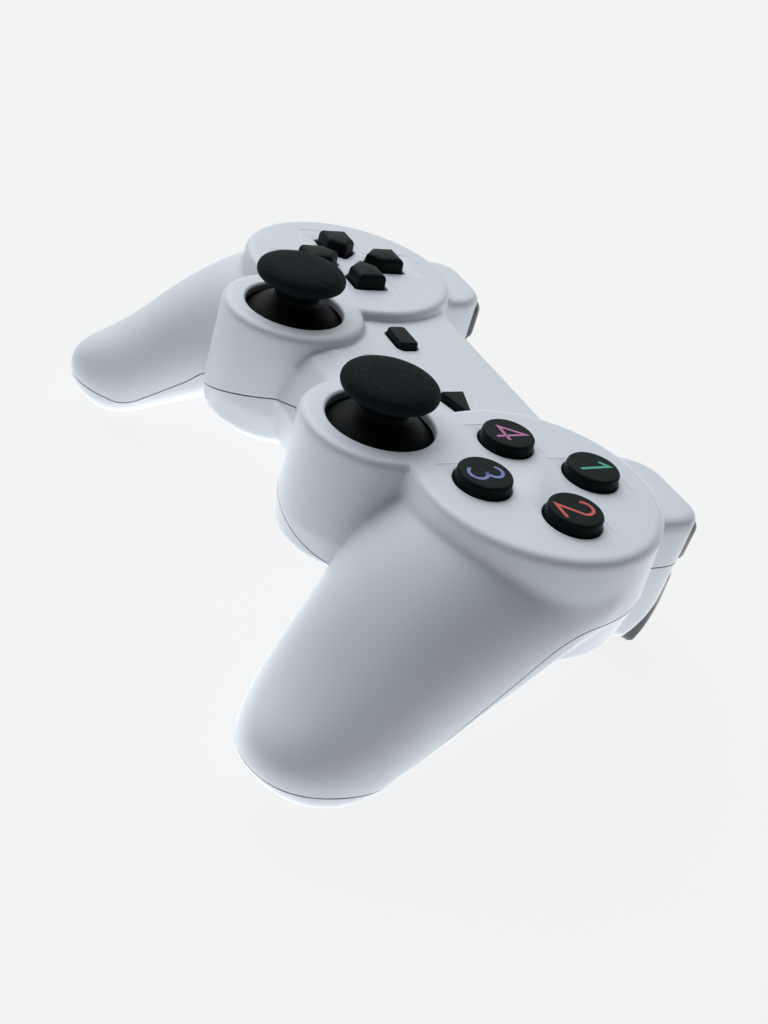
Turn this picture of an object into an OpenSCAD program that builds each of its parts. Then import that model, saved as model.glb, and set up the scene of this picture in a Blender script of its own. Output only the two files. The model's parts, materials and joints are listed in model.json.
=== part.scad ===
// Twin-grip game controller: a two-part moulded housing around thumbsticks, keys and triggers.
// Lengths are in millimetres. Everything is drawn level with the top plateau, then tipped to rest
// on the two grips and the two trigger lips.

/* [Housing] */
// distance of each round pod from the middle
pod_x = 46; // [44:0.5:50]
// radius of a pod at its top edge
pod_r = 25.9; // [24:0.1:28]
// rounding of the pod's top edge
pod_round = 2.2; // [1:0.1:3]
// how much wider a pod is at the seam
pod_flare = 0.9; // [0:0.1:2]
// underside of the housing below the pods and the deck
floor_z = -28; // [-30:0.5:-27]
// drop from the pod tops to the deck between them
deck_drop = 2.2; // [1.5:0.1:3]
// straight back edge of the deck
deck_back = 17.2; // [16:0.1:19]
// front wall between the two stick towers
deck_front = -31; // [-33:0.5:-29]
// wall of the mouldings
wall = 2.2; // [1.8:0.1:2.6]
// level of the seam around the pods
seam_z = -14.5; // [-15:0.1:-14]
// gap left open along the seam
seam_gap = 0.15; // [0.1:0.05:0.4]

/* [Grips] */
// start of a grip's centre line beside the middle of the pod
grip_x = 45.9; // [44:0.1:47]
// angle of the grips, seen from above
grip_splay = 22.1; // [20:0.1:26]
// length of a grip to the start of its round end
grip_run = 46.2; // [44:0.1:50]
// length of the round end
grip_end = 18; // [16:0.1:19]
// half width where the grip starts inside the pod
grip_w0 = 28; // [27:0.1:31]
// half width where the round end starts
grip_w1 = 17.1; // [14:0.1:18]
// height of the grip above its middle line there
grip_up = 17.1; // [15:0.1:18]
// depth of the grip below its middle line there
grip_down = 8.7; // [8:0.1:10]

/* [Sticks] */
// distance of each stick from the middle
stick_x = 23.5; // [22:0.1:25]
// distance of the sticks in front of the pod line
stick_y = -23.7; // [-25:0.1:-22]
// radius of the raised ring around a stick
tower_r = 16.3; // [16:0.1:18]
// radius of the well in the ring
well_r = 11.2; // [11:0.1:12]
// height of a stick's pivot
pivot_z = -11.5; // [-12:0.1:-11]
// radius of the thumb cap
cap_r = 10; // [9:0.1:11]
// radius of the round skirt under the cap
skirt_r = 14.1; // [13.8:0.05:14.2]
// how far a stick tips each way, in degrees
stick_tip = 16; // [10:1:16]
// how far a stick clicks down
click = 0.5; // [0.3:0.1:0.5]

/* [Keys] */
// distance of a round button from the middle of its pod
face_ring = 12.7; // [12:0.1:13.5]
// radius of a round button
face_r = 5.6; // [5:0.1:5.8]
// height of a round button above the pod
face_up = 2.3; // [1.5:0.1:3]
// height of a direction key above the pod
dpad_up = 3.3; // [1.5:0.1:3.6]
// half width of a direction key
dpad_w = 3.9; // [3.4:0.1:4.2]
// gap around a round button
key_gap = 0.3; // [0.2:0.05:0.4]
// gap around a direction key, which tilts
dpad_gap = 0.5; // [0.4:0.05:0.6]
// height of the small keys above the deck
small_up = 1.6; // [1:0.1:2]

/* [Shoulders] */
// inner side of a shoulder
shoulder_in = 33.5; // [33:0.1:34]
// outer side of a shoulder
shoulder_out = 58.8; // [58:0.1:60]
// front of a shoulder
shoulder_front = 36.6; // [36:0.1:37]
// top of a shoulder
shoulder_top = -3.4; // [-4:0.1:-3]
// underside of a shoulder
shoulder_low = -26; // [-27:0.1:-25.5]
// how far a bumper stands out of the shoulder
bumper_out = 1.6; // [1:0.1:2.4]
// trigger pivot, distance in front of the pod line
hinge_y = 27.5; // [27:0.1:28]
// trigger pivot height
hinge_z = -20.5; // [-21:0.1:-20]
// radius of the trigger's pin
pin_r = 1; // [0.8:0.05:1.2]
// running clearance of a pin in its bore
run_gap = 0.05; // [0.02:0.01:0.1]

/* [Inside] */
// length of the battery
battery_x = 44; // [40:0.5:46]
// width of the battery
battery_y = 21.6; // [18:0.1:23]
// thickness of the battery
battery_z = 5.6; // [4:0.1:6.5]
// half width of the box around a stick's pivot
box_half = 9.4; // [9:0.1:10]
// radius of a motor
motor_r = 6.2; // [5.5:0.1:6.4]
// length of a motor
motor_len = 18; // [16:0.5:19]

/* [Hidden] */
$fn = 64;

white = [0.92, 0.93, 0.95];
black = [0.11, 0.12, 0.13];
charcoal = [0.2, 0.21, 0.22];
rubber = [0.32, 0.33, 0.34];
steel = [0.66, 0.67, 0.68];
board = [0.1, 0.32, 0.18];

deck_z = -deck_drop;
tower_floor = floor_z - 2;
tower_flare = 0.8;
stick_room = skirt_r + 0.6;
face_hole = face_r + key_gap;
sides = [-1, 1];

// stack of layers under the keys
film_top = -9.5;
film_t = 0.3;
sheet_t = 0.8;
sheet_top = film_top + sheet_t;
frame_top = film_top - film_t;
frame_t = 1.4;
pad_r = 17.4;
frame_r = 17.8;
board_top = pivot_z - 5.5;
board_t = 1.2;

// grip loft: upright rings along a level centre line, their heights follow curves
grip_n = 24;
grip_e = 2.2;
mid_z = [-8.3, -24.2, -39.1];
top_h = [8.4, 29.1, grip_up];
low_h = [13.2, grip_down];
end_bow = 0.84;
ring_k = [0.12, 0.26, 0.4, 0.52, 0.64, 0.76, 0.88, 1];
end_u = [0.2, 0.4, 0.58, 0.74, 0.87, 0.96];

function mix(a, b, k) = a + (b - a) * k;
function bend(p, k) = (1 - k) * (1 - k) * p[0] + 2 * k * (1 - k) * p[1] + k * k * p[2];
function pw(v, e) = sign(v) * pow(abs(v), e);
function grip_at(run) = [grip_x + run * sin(grip_splay), -run * cos(grip_splay)];
function grip_mid(k) = bend(mid_z, k);
function grip_low(run) = grip_mid(run / grip_run) - mix(low_h[0], low_h[1], run / grip_run);
// along the round end a value runs on with the slope it came with, and eases off
function run_on(a, b, u) = (b - a) * grip_end / grip_run * (u - u * u / 2);
function end_mid(u) = 2 * (mid_z[2] - mid_z[1]) * grip_end / grip_run * (u - end_bow * u * u);
function grip_ring(s, k, u, t) =
    let (f = sqrt(1 - u * u), c = grip_at(grip_run * k + (grip_end - t) * u))
    let (a = (mix(grip_w0, grip_w1, k) + run_on(grip_w0, grip_w1, u) - t) * f)
    let (up = (bend(top_h, k) + 2 * run_on(top_h[1], top_h[2], u) - t) * f)
    let (dn = (mix(low_h[0], low_h[1], k) + run_on(low_h[0], low_h[1], u) - t) * f)
    [for (i = [0:grip_n - 1])
        let (w = a * pw(cos(360 * i / grip_n), 2 / grip_e), v = pw(sin(360 * i / grip_n), 2 / grip_e))
        [s * (c[0] + w * cos(grip_splay)), c[1] + w * sin(grip_splay),
            grip_mid(k) + end_mid(u) + (v > 0 ? up : dn) * v]];
function grip_points(s, t) = concat(
    [for (k = ring_k) each grip_ring(s, k, 0, t)],
    [for (u = end_u) each grip_ring(s, 1, u, t)]);
rings = len(ring_k) + len(end_u);
function turn(f, s) = s > 0 ? f : [for (i = [len(f) - 1:-1:0]) f[i]];
function grip_faces(s) = concat(
    [for (j = [0:rings - 2], i = [0:grip_n - 1])
        turn([j * grip_n + i, (j + 1) * grip_n + (i + 1) % grip_n, j * grip_n + (i + 1) % grip_n], s)],
    [for (j = [0:rings - 2], i = [0:grip_n - 1])
        turn([j * grip_n + i, (j + 1) * grip_n + i, (j + 1) * grip_n + (i + 1) % grip_n], s)],
    [turn([for (i = [0:grip_n - 1]) i], s)],
    [turn([for (i = [grip_n - 1:-1:0]) (rings - 1) * grip_n + i], s)]);

// seam: level around the pods, roof-shaped under the sticks, sloping along the grips
roof_out = 10;
roof_x = grip_w0 + roof_out;
roof_z = -12;
roof_fall = 0.37;
grip_seam = [13.9, -0.358, 0.75];
tip_seam = -41.9;
function slope_z(x, y) = grip_seam[0] + grip_seam[1] * x + grip_seam[2] * y;

// trigger outline in side view, seen from its pivot, and the lip that the controller rests on
trigger_shape = [[0, 2.3], [8.6, 2.3], [9.6, 0.8], [10, -3], [10.2, -7], [10, -10.5], [9.3, -14],
    [8.2, -17], [7.3, -18.7], [6.4, -19.3], [5.4, -18.8], [4.7, -16.8], [4.5, -12.5], [4.3, -8],
    [3.9, -4.5], [2.7, -2.9], [0, -2.3]];
lip = [hinge_y + 6.4, hinge_z - 19.3];

// underside of a shoulder from its front edge back to the pod, with a keel behind the trigger
keel = [[shoulder_front, -24.2], [29.6, -32.8], [27.8, -34.6], [24.5, -34], [16, -29]];
keel_low = -34.6;

// top and underside of a bumper, and the rib and mat behind it
bumper_low = -15.4;
bumper_high = -6.6;
rib_y = shoulder_front - 12.5;
rib_t = 1.8;
mat_y = rib_y + rib_t / 2;
mat_t = 1.3;
dome_h = 2.6;
bumper_back = mat_y + mat_t + dome_h + 0.1;

// resting attitude: the steepest line from the trigger lips that passes under the grips
skin = grip_points(1, 0);
tilt = max([for (p = skin) atan((lip[1] - p[2]) / (lip[0] - p[1]))]);
function tipped_y(p) = p[0] * cos(tilt) + p[1] * sin(tilt);
function tipped_z(p) = -p[0] * sin(tilt) + p[1] * cos(tilt);
bottom = min([for (p = skin) tipped_z([p[1], p[2]])]);
near = min([for (p = skin) tipped_y([p[1], p[2]])]);
far = tipped_y([shoulder_front + bumper_out, bumper_high]);

// screws: x, y, seam level there, level of the head's seat
screw_r = 0.85;
head_r = 2;
screws = [[-27, 13, seam_z, seam_z - 4], [27, 13, seam_z, seam_z - 4], [0, -22.3, roof_z, roof_z - 4],
    [-63.6, -43, tip_seam, tip_seam - 2.8], [63.6, -43, tip_seam, tip_seam - 2.8]];

// motor centre line in a grip
motor_pitch = 32.6;
motor_run = 19;
motor_z = -20.8;
motor_rests = [22, 28];

// width of the openings in a shoulder; its outer wall is thinner
cheek = 1.5;
window_in = shoulder_in + wall + 0.5;
window_out = shoulder_out - cheek;
window_x = (window_in + window_out) / 2;
shoulder_x = (shoulder_in + shoulder_out) / 2;

module place() {
    translate([0, -(near + far) / 2, -bottom]) rotate([-tilt, 0, 0]) children();
}

module at_pod(s) {
    translate([s * pod_x, 0, 0]) children();
}

module at_stick(s) {
    translate([s * stick_x, stick_y, pivot_z]) children();
}

// solid outside (t = 0) or hollow inside (t = wall) of each part of the housing
module pod(s, t) {
    round = max(pod_round - t, 0);
    at_pod(s) rotate_extrude() polygon(concat(
        [[0, -t], [pod_r - t - round, -t]],
        [for (a = [75:-15:15]) [pod_r - t - round + round * cos(a), -t - round + round * sin(a)]],
        [[pod_r - t, -t - round], [pod_r + pod_flare - t, seam_z], [pod_r - 0.5 - t, floor_z + 5],
            [pod_r - 2 - t, floor_z + 2 + t / 2], [pod_r - 6 - t, floor_z + t], [0, floor_z + t]]));
}

module tower(s, t) {
    round = 2.6;
    outer = concat([[0, 0], [tower_r - round, 0]],
        [for (a = [75:-15:15]) [tower_r - round + round * cos(a), -round + round * sin(a)]],
        [[tower_r, -round], [tower_r + tower_flare, -20], [tower_r + 0.3, tower_floor + 4],
            [tower_r - 1.6, tower_floor + 1.2], [tower_r - 4, tower_floor], [0, tower_floor]]);
    inner = [[0, -t], [stick_room, -t], [stick_room, tower_floor + 4],
        [stick_room - 2.6, tower_floor + t], [0, tower_floor + t]];
    translate([s * stick_x, stick_y, 0]) rotate_extrude() polygon(t > 0 ? inner : outer);
}

module deck(t) {
    rotate([90, 0, 90]) translate([0, 0, -pod_x + t]) linear_extrude(2 * (pod_x - t))
        polygon([[-14, deck_z - t], [deck_back - 2 - t, deck_z - t], [deck_back - 0.6 - t, deck_z - 0.6 - t],
            [deck_back - t, deck_z - 2 - t], [deck_back - t, floor_z + 3 + t],
            [deck_back - 3 - t, floor_z + t], [-14, floor_z + t]]);
    rotate([90, 0, 90]) translate([0, 0, -stick_x]) linear_extrude(2 * stick_x)
        polygon([[-10, deck_z - t], [-20 + t / 2, deck_z - t], [-25 + t * 0.8, deck_z - 1 - t],
            [deck_front + 2 + t, -7 - t / 2], [deck_front + t, -15], [deck_front + 1.5 + t, -24],
            [deck_front + 6 + t / 2, floor_z + t], [-10, floor_z + t]]);
}

module shoulder(s, t) {
    in_r = 7;
    out_r = 2.2;
    top_r = 3.2;
    x0 = shoulder_in + t;
    x1 = shoulder_out - min(t, cheek);
    y1 = shoulder_front - t;
    intersection() {
        translate([0, 0, keel_low - 1]) linear_extrude(40) polygon(concat([[s * x0, 8]],
            [for (a = [180:-15:90]) [s * (x0 + in_r + in_r * cos(a)), y1 - in_r + in_r * sin(a)]],
            [for (a = [90:-15:0]) [s * (x1 - out_r + out_r * cos(a)), y1 - out_r + out_r * sin(a)]],
            [[s * x1, 8]]));
        rotate([90, 0, 90]) translate([0, 0, -80]) linear_extrude(160) polygon(concat(
            [[7, shoulder_low + t], [7, shoulder_top - t]],
            [for (a = [90:-15:0]) [y1 - top_r + top_r * cos(a), shoulder_top - t - top_r + top_r * sin(a)]],
            [for (p = keel) [min(p[0] - t / 2, y1), p[1] + t]]));
    }
}

module grip(s, t) {
    polyhedron(grip_points(s, t), grip_faces(s), convexity = 6);
}

module body(t) {
    for (s = sides) {
        pod(s, t);
        tower(s, t);
        shoulder(s, t);
        grip(s, t);
    }
    deck(t);
}

// space above the seam, lowered by g
module above(g) {
    translate([0, 0, -g]) {
        translate([-roof_x, -20, seam_z]) cube([2 * roof_x, 80, 40]);
        translate([0, -19.9, 0]) rotate([90, 0, 0]) linear_extrude(60)
            polygon([[-roof_x, roof_z - roof_fall * roof_x], [0, roof_z],
                [roof_x, roof_z - roof_fall * roof_x], [roof_x, 26], [-roof_x, 26]]);
        for (s = sides) {
            translate([s * (roof_x + 30) - 30.1, -100, seam_z]) cube([60.2, 200, 40]);
            intersection() {
                slope(s);
                translate([s * (roof_x + 30) - 31, -100, tip_seam]) cube([62, 200, 70]);
            }
        }
    }
}

module slope(s) {
    a = roof_x - 0.1;
    b = roof_x + 60;
    polyhedron([[s * a, -100, slope_z(a, -100)], [s * b, -100, slope_z(b, -100)],
        [s * b, 20, slope_z(b, 20)], [s * a, 20, slope_z(a, 20)],
        [s * a, -100, 30], [s * b, -100, 30], [s * b, 20, 30], [s * a, 20, 30]],
        [for (f = [[0, 1, 2, 3], [7, 6, 5, 4], [0, 4, 5, 1], [1, 5, 6, 2], [2, 6, 7, 3], [3, 7, 4, 0]])
            turn(f, s)]);
}

// direction key: its inner point, the start of its straight sides, its outer end and cut corners
key_in = 3.4;
key_side = 6.9;
key_out = 13.2;
key_cut = 0.8;
module dpad_key(g) {
    polygon([[0, key_in - 1.4 * g], [dpad_w + g, key_side - 0.4 * g], [dpad_w + g, key_out - key_cut + g],
        [dpad_w - key_cut + g, key_out + g], [-dpad_w + key_cut - g, key_out + g],
        [-dpad_w - g, key_out - key_cut + g], [-dpad_w - g, key_side - 0.4 * g]]);
}

module start_outline(g) {
    polygon([[12.4 - g, -4 - g], [12.4 - g, 1.2 + g], [13.2, 1.6 + 1.2 * g], [21.6 + 2 * g, -0.9 + g / 2],
        [21.6 + 2 * g, -1.9 - g / 2], [13.2, -4.4 - 1.2 * g]]);
}

module select_outline(g) {
    polygon([[-15.8 - g, -3.2], [-15, -4 - g], [-8, -4 - g], [-7.2 + g, -3.2], [-7.2 + g, 0.2],
        [-8, 1 + g], [-15, 1 + g], [-15.8 - g, 0.2]]);
}

module key_holes() {
    for (a = [0:90:270])
        at_pod(1) rotate([0, 0, a]) translate([face_ring, 0, -wall - 1])
            cylinder(r = face_hole, h = wall + 2);
    for (a = [0:90:270])
        at_pod(-1) rotate([0, 0, a]) translate([0, 0, -wall - 1]) linear_extrude(wall + 2) dpad_key(dpad_gap);
    for (s = sides)
        translate([s * stick_x, stick_y, -wall - 1]) cylinder(r = well_r, h = wall + 2);
    translate([0, 0, deck_z - wall - 1]) linear_extrude(wall + 4) start_outline(key_gap);
    translate([0, 0, deck_z - wall - 1]) linear_extrude(wall + 2) select_outline(key_gap);
    translate([0, home_y, deck_z - wall - 1]) cylinder(r = home_r + key_gap, h = wall + 2);
}

home_y = -13;
home_r = 4.6;

// openings in the front of a shoulder for the bumper and the trigger
module shoulder_windows(s) {
    w = window_out - window_in;
    tall = bumper_high - bumper_low + 2 * key_gap;
    translate([s * window_x - w / 2, 0, bumper_low - key_gap]) {
        translate([0, bumper_back - 1.5, 0]) cube([w, 14, tall]);
        translate([0, shoulder_front - wall - 3.4, -1]) cube([w, 3.5, tall + 2]);
        translate([0, hinge_y - 0.6, hinge_z + 2.8 - bumper_low + key_gap - 30]) cube([w, 20, 30]);
    }
}

module back_windows() {
    translate([-4.3, deck_back - wall - 1, board_top - 0.3]) cube([8.6, wall + 2, 4.6]);
    for (x = [-15, -9, 9, 15])
        translate([x - 2.4, deck_back - wall - 1, -9.8]) cube([4.8, wall + 2, 1.6]);
}

module motor_axis(s) {
    translate([s * grip_at(motor_run)[0], grip_at(motor_run)[1], motor_z])
        rotate([0, 0, s * grip_splay]) rotate([90 + motor_pitch, 0, 0]) children();
}

module front_shell() color(white) place() difference() {
    union() {
        intersection() {
            difference() {
                body(0);
                body(wall);
            }
            above(0);
        }
        for (p = [screws[0], screws[1]])
            translate([p[0], p[1], p[2]]) cylinder(r = 2.6, h = -1.2 - p[2]);
        translate([0, screws[2][1], screws[2][2]]) cylinder(r = 2.6, h = deck_z - 2 - screws[2][2]);
        for (s = sides)
            intersection() {
                translate([s * screws[4][0], screws[4][1], tip_seam]) cylinder(r = 2.6, h = 30);
                grip(s, wall / 2);
            }
        for (s = sides)
            translate([s * shoulder_x, rib_y, (seam_z + shoulder_top - 1) / 2])
                cube([shoulder_out - shoulder_in - wall, rib_t, shoulder_top - 1 - seam_z], center = true);
    }
    key_holes();
    back_windows();
    for (s = sides) shoulder_windows(s);
    for (p = screws)
        translate([p[0], p[1], p[2] - 1]) cylinder(r = screw_r + 0.02, h = 8);
}

module rear_shell() color(white) place() difference() {
    union() {
        difference() {
            body(0);
            body(wall);
            above(seam_gap);
        }
        for (p = [screws[0], screws[1], screws[2]])
            translate([p[0], p[1], floor_z + 1]) cylinder(r = 3.2, h = p[2] - seam_gap - floor_z - 1);
        for (s = sides)
            intersection() {
                translate([s * screws[4][0], screws[4][1], -60])
                    cylinder(r = 3.2, h = 60 + tip_seam - seam_gap);
                grip(s, wall / 2);
            }
        for (s = sides) {
            translate([s * 33, 5, floor_z + 1]) cylinder(r = 2.2, h = board_top - board_t - floor_z - 1);
            translate([s * stick_x, stick_y - 6, tower_floor + 1])
                cylinder(r = 2.4, h = board_top - board_t - tower_floor - 1);
            for (run = motor_rests)
                translate([s * grip_at(run)[0], grip_at(run)[1], grip_low(run) + 1.4])
                    cylinder(r = 1.5, h = 10);
        }
    }
    back_windows();
    for (s = sides) {
        shoulder_windows(s);
        motor_axis(s) translate([0, 0, -1]) cylinder(r = motor_r, h = motor_len + 2);
        translate([s * shoulder_x, hinge_y, hinge_z]) rotate([0, 90, 0])
            cylinder(r = pin_r + 0.02, h = shoulder_out - shoulder_in - 0.8, center = true);
    }
    for (p = screws) {
        translate([p[0], p[1], p[3] - 1]) cylinder(r = screw_r + 0.3, h = 8);
        translate([p[0], p[1], p[3] - 20]) cylinder(r = head_r + 0.4, h = 20);
    }
}

// direction pad: four keys on one rocker that tilts on a small cross
cross_z = -4.2;
cross_r = 0.9;
hub = 1.4;
module dpad() color(black) place() at_pod(-1) difference() {
    union() {
        for (a = [0:90:270])
            rotate([0, 0, a]) {
                translate([0, 0, -5]) linear_extrude(dpad_up + 4.4) dpad_key(0);
                translate([0, 0, dpad_up - 0.6]) linear_extrude(0.6) dpad_key(-0.5);
            }
        translate([0, 0, -5.8]) cylinder(r = 13.5, h = 1.6);
        for (s = sides)
            translate([-1.9, s * 4.05 - 1.45, -5.8]) cube([3.8, 2.9, 3]);
    }
    translate([-6.2, -1.6, -10]) cube([12.4, 3.2, 8.4]);
    translate([-2.6, -2.6, -10]) cube([5.2, 5.2, 8.4]);
    translate([0, 0, cross_z]) rotate([90, 0, 0]) cylinder(r = cross_r + run_gap, h = 11.4, center = true);
}

module dpad_pivot() color(steel) place() at_pod(-1) translate([0, 0, cross_z]) {
    cube(2 * hub, center = true);
    for (a = [0:90:270])
        rotate([0, 0, a]) translate([1, 0, 0]) rotate([0, 90, 0]) cylinder(r = cross_r, h = 4.5);
}

module face_button(a) {
    color(black) place() at_pod(1) rotate([0, 0, a]) translate([face_ring, 0, 0]) rotate_extrude()
        polygon([[0, face_up], [face_r - 1, face_up - 0.1], [face_r - 0.3, face_up - 0.4],
            [face_r, face_up - 1], [face_r, -wall - 0.3], [face_r + 1.3, -wall - 0.3],
            [face_r + 1.3, -wall - 1.5], [3.4, -wall - 1.5], [3.4, -5.6], [0, -5.6]]);
}

module face_button_right() face_button(0);
module face_button_top() face_button(90);
module face_button_left() face_button(180);
module face_button_bottom() face_button(270);

small_low = -6.6;
module small_key() {
    translate([0, 0, small_low + 0.6]) linear_extrude(deck_z - wall - 0.3 - small_low - 0.6) children(1);
    translate([0, 0, small_low]) linear_extrude(deck_z + small_up - 0.5 - small_low) children(0);
    translate([0, 0, deck_z + small_up - 0.6]) linear_extrude(0.6) children(2);
}

module start_button() color(black) place() small_key() {
    start_outline(0);
    start_outline(0.9);
    start_outline(-0.4);
}

module select_button() color(black) place() small_key() {
    select_outline(0);
    select_outline(0.9);
    select_outline(-0.4);
}

module home_button() color(black) place() translate([0, home_y, 0]) rotate_extrude()
    polygon([[0, deck_z + 1], [home_r - 0.8, deck_z + 0.9], [home_r, deck_z + 0.4],
        [home_r, deck_z - wall - 0.3], [home_r + 1.1, deck_z - wall - 0.3],
        [home_r + 1.1, small_low + 0.6], [2.6, small_low + 0.6], [2.6, small_low], [0, small_low]]);

module bumper(s) {
    x0 = window_in + key_gap;
    w = window_out - window_in - 2 * key_gap;
    front = shoulder_front + bumper_out;
    color(charcoal) place() {
        translate([0, 0, bumper_low]) linear_extrude(bumper_high - bumper_low)
            polygon([for (p = [[x0, bumper_back], [x0 + w, bumper_back], [x0 + w, front - bumper_out],
                [x0 + w - 0.7, front - 0.6], [x0 + w - 2.2, front], [x0 + 7, front],
                [x0 + 4, front - 0.6], [x0 + 1.6, front - 1.8], [x0, front - 3.4]]) [s * p[0], p[1]]]);
        translate([s * window_x - w / 2, shoulder_front - wall - 1.8, bumper_low - 1])
            cube([w, 1.4, bumper_high - bumper_low + 2]);
    }
}

module left_bumper() bumper(-1);
module right_bumper() bumper(1);

boss_r = 2.7;
module trigger(s) {
    w = window_out - window_in - 2 * key_gap - 0.4;
    color(charcoal) place() translate([s * window_x, hinge_y, hinge_z]) difference() {
        union() {
            rotate([90, 0, 90]) translate([0, 0, -w / 2]) linear_extrude(w) polygon(trigger_shape);
            rotate([0, 90, 0]) cylinder(r = boss_r, h = w, center = true);
        }
        rotate([0, 90, 0]) cylinder(r = pin_r + run_gap, h = w + 2, center = true);
    }
}

module left_trigger() trigger(-1);
module right_trigger() trigger(1);

module trigger_pin(s) {
    color(steel) place() translate([s * shoulder_x, hinge_y, hinge_z]) rotate([0, 90, 0])
        cylinder(r = pin_r, h = shoulder_out - shoulder_in - 1.2, center = true);
}

module left_trigger_pin() trigger_pin(-1);
module right_trigger_pin() trigger_pin(1);

// thumbstick: domed cap, neck and a round skirt that closes the well
skirt_t = 1.2;
skirt_edge = 67;
shaft_r = 2;
shaft_top = 17.3;
module stick_cap(s) {
    top = shaft_top + 4.7;
    color(black) place() at_stick(s) rotate_extrude() polygon(concat(
        [[0, top], [0.4 * cap_r, top - 0.3], [0.7 * cap_r, top - 1.1], [0.9 * cap_r, top - 2.1],
            [0.98 * cap_r, top - 2.7], [cap_r, top - 3.3], [0.97 * cap_r, top - 3.9],
            [0.88 * cap_r, top - 4.5], [0.72 * cap_r, top - 5.3], [0.59 * cap_r, top - 6.2],
            [5.3, top - 7.1], [5.1, top - 8.3]],
        [for (a = [21:4.6:skirt_edge]) [skirt_r * sin(a), skirt_r * cos(a)]],
        [for (a = [skirt_edge:-4.3:15.4]) [(skirt_r - skirt_t) * sin(a), (skirt_r - skirt_t) * cos(a)]],
        [[3.4, 8.7], [shaft_r + 0.02, 8.7], [shaft_r + 0.02, shaft_top + 0.2], [0, shaft_top + 0.2]]));
}

module left_stick_cap() stick_cap(-1);
module right_stick_cap() stick_cap(1);

eye_r = 0.8;
module stick_shaft(s) {
    color(charcoal) place() at_stick(s) {
        translate([0, 0, -3.4]) cylinder(r = shaft_r, h = shaft_top + 3.4);
        rotate([90, 0, 0]) cylinder(r = eye_r, h = 8.2, center = true);
    }
}

module left_stick_shaft() stick_shaft(-1);
module right_stick_shaft() stick_shaft(1);

axle_r = 1.25;
axle_in = 0.1;
axle_out = 1.8;
module stick_yoke(s) {
    color(rubber) place() at_stick(s) difference() {
        union() {
            cube([10.4, 8.4, 4.4], center = true);
            translate([-s * (axle_out + axle_in) / 2, 0, 0]) rotate([0, 90, 0])
                cylinder(r = axle_r, h = 2 * box_half + axle_out - axle_in, center = true);
        }
        cube([6.6, 4.8, 10], center = true);
        rotate([90, 0, 0]) cylinder(r = eye_r + run_gap, h = 20, center = true);
    }
}

module left_stick_yoke() stick_yoke(-1);
module right_stick_yoke() stick_yoke(1);

arch_r = 7.4;
arch_t = 1.2;
module stick_arch(s) {
    color(rubber) place() at_stick(s) difference() {
        union() {
            intersection() {
                rotate([0, 90, 0]) cylinder(r = arch_r, h = 6.4, center = true);
                translate([-5, -10, 0]) cube([10, 20, 10]);
            }
            for (e = sides)
                translate([0, e * (arch_r - arch_t), 0]) rotate([-e * 90, 0, 0])
                    cylinder(r = axle_r, h = box_half - axle_in - arch_r + arch_t);
        }
        rotate([0, 90, 0]) cylinder(r = arch_r - arch_t, h = 20, center = true);
        translate([-2.35, -4.9, 3]) cube([4.7, 9.8, 10]);
    }
}

module left_stick_arch() stick_arch(-1);
module right_stick_arch() stick_arch(1);

box_wall = 0.95;
module stick_housing(s) {
    color(charcoal) place() at_stick(s) difference() {
        intersection() {
            translate([-box_half, -box_half, -5.5]) cube([2 * box_half, 2 * box_half, 7.7]);
            translate([0, 0, -6]) cylinder(r = box_half + axle_out, h = 12);
        }
        translate([0, 0, -4.7]) cylinder(r = box_half - box_wall, h = 20);
        rotate([0, 90, 0]) cylinder(r = axle_r + run_gap, h = 40, center = true);
        translate([0, 0, -click]) rotate([0, 90, 0]) cylinder(r = axle_r + run_gap, h = 40, center = true);
        rotate([90, 0, 0]) cylinder(r = axle_r + run_gap, h = 40, center = true);
    }
}

module left_stick_housing() stick_housing(-1);
module right_stick_housing() stick_housing(1);

sensor_t = 2.1;
sensor_w = 7.6;
module stick_sensors(s) {
    color(board) place() at_stick(s) {
        translate([s * (box_half + sensor_t / 2), 0, -1.85]) cube([sensor_t, sensor_w, 7.3], center = true);
        translate([0, box_half + sensor_t / 2, -1.85]) cube([sensor_w, sensor_t, 7.3], center = true);
    }
}

module left_stick_sensors() stick_sensors(-1);
module right_stick_sensors() stick_sensors(1);

plunger_x = box_half + 1.2;
plunger_r = 0.8;
module stick_plunger(s) {
    color(rubber) place() at_stick(s) translate([-s * plunger_x, 0, 0]) {
        translate([-0.9, -1.6, -3]) cube([1.8, 3.2, 3 - axle_r]);
        translate([0, 0, -4.6]) cylinder(r = plunger_r, h = 1.8);
    }
}

module left_stick_plunger() stick_plunger(-1);
module right_stick_plunger() stick_plunger(1);

module stick_switch(s) {
    color(steel) place() at_stick(s) difference() {
        translate([-s * (plunger_x + 0.6) - 1.6, -2.2, -5.5]) cube([3.2, 4.4, 1.7]);
        translate([-s * plunger_x, 0, -5.3]) cylinder(r = plunger_r + run_gap, h = 3);
    }
}

module left_stick_switch() stick_switch(-1);
module right_stick_switch() stick_switch(1);

// rubber mats with a dome under each key
module dome(r1, r2, top) {
    translate([0, 0, sheet_top - 0.1]) cylinder(r1 = r1, r2 = r2, h = top - sheet_top + 0.1);
}

module dpad_membrane() color(rubber) place() at_pod(-1) difference() {
    union() {
        translate([0, 0, film_top]) cylinder(r = pad_r, h = sheet_t);
        for (a = [0:90:270])
            rotate([0, 0, a]) translate([9.6, 0, 0]) dome(3.3, 2.4, -6);
    }
    translate([0, 0, film_top - 1]) cylinder(r = 6, h = 3);
}

module face_membrane() color(rubber) place() at_pod(1) {
    translate([0, 0, film_top]) cylinder(r = pad_r, h = sheet_t);
    for (a = [0:90:270])
        rotate([0, 0, a]) translate([face_ring, 0, 0]) dome(4.4, 3.2, -5.8);
}

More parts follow.
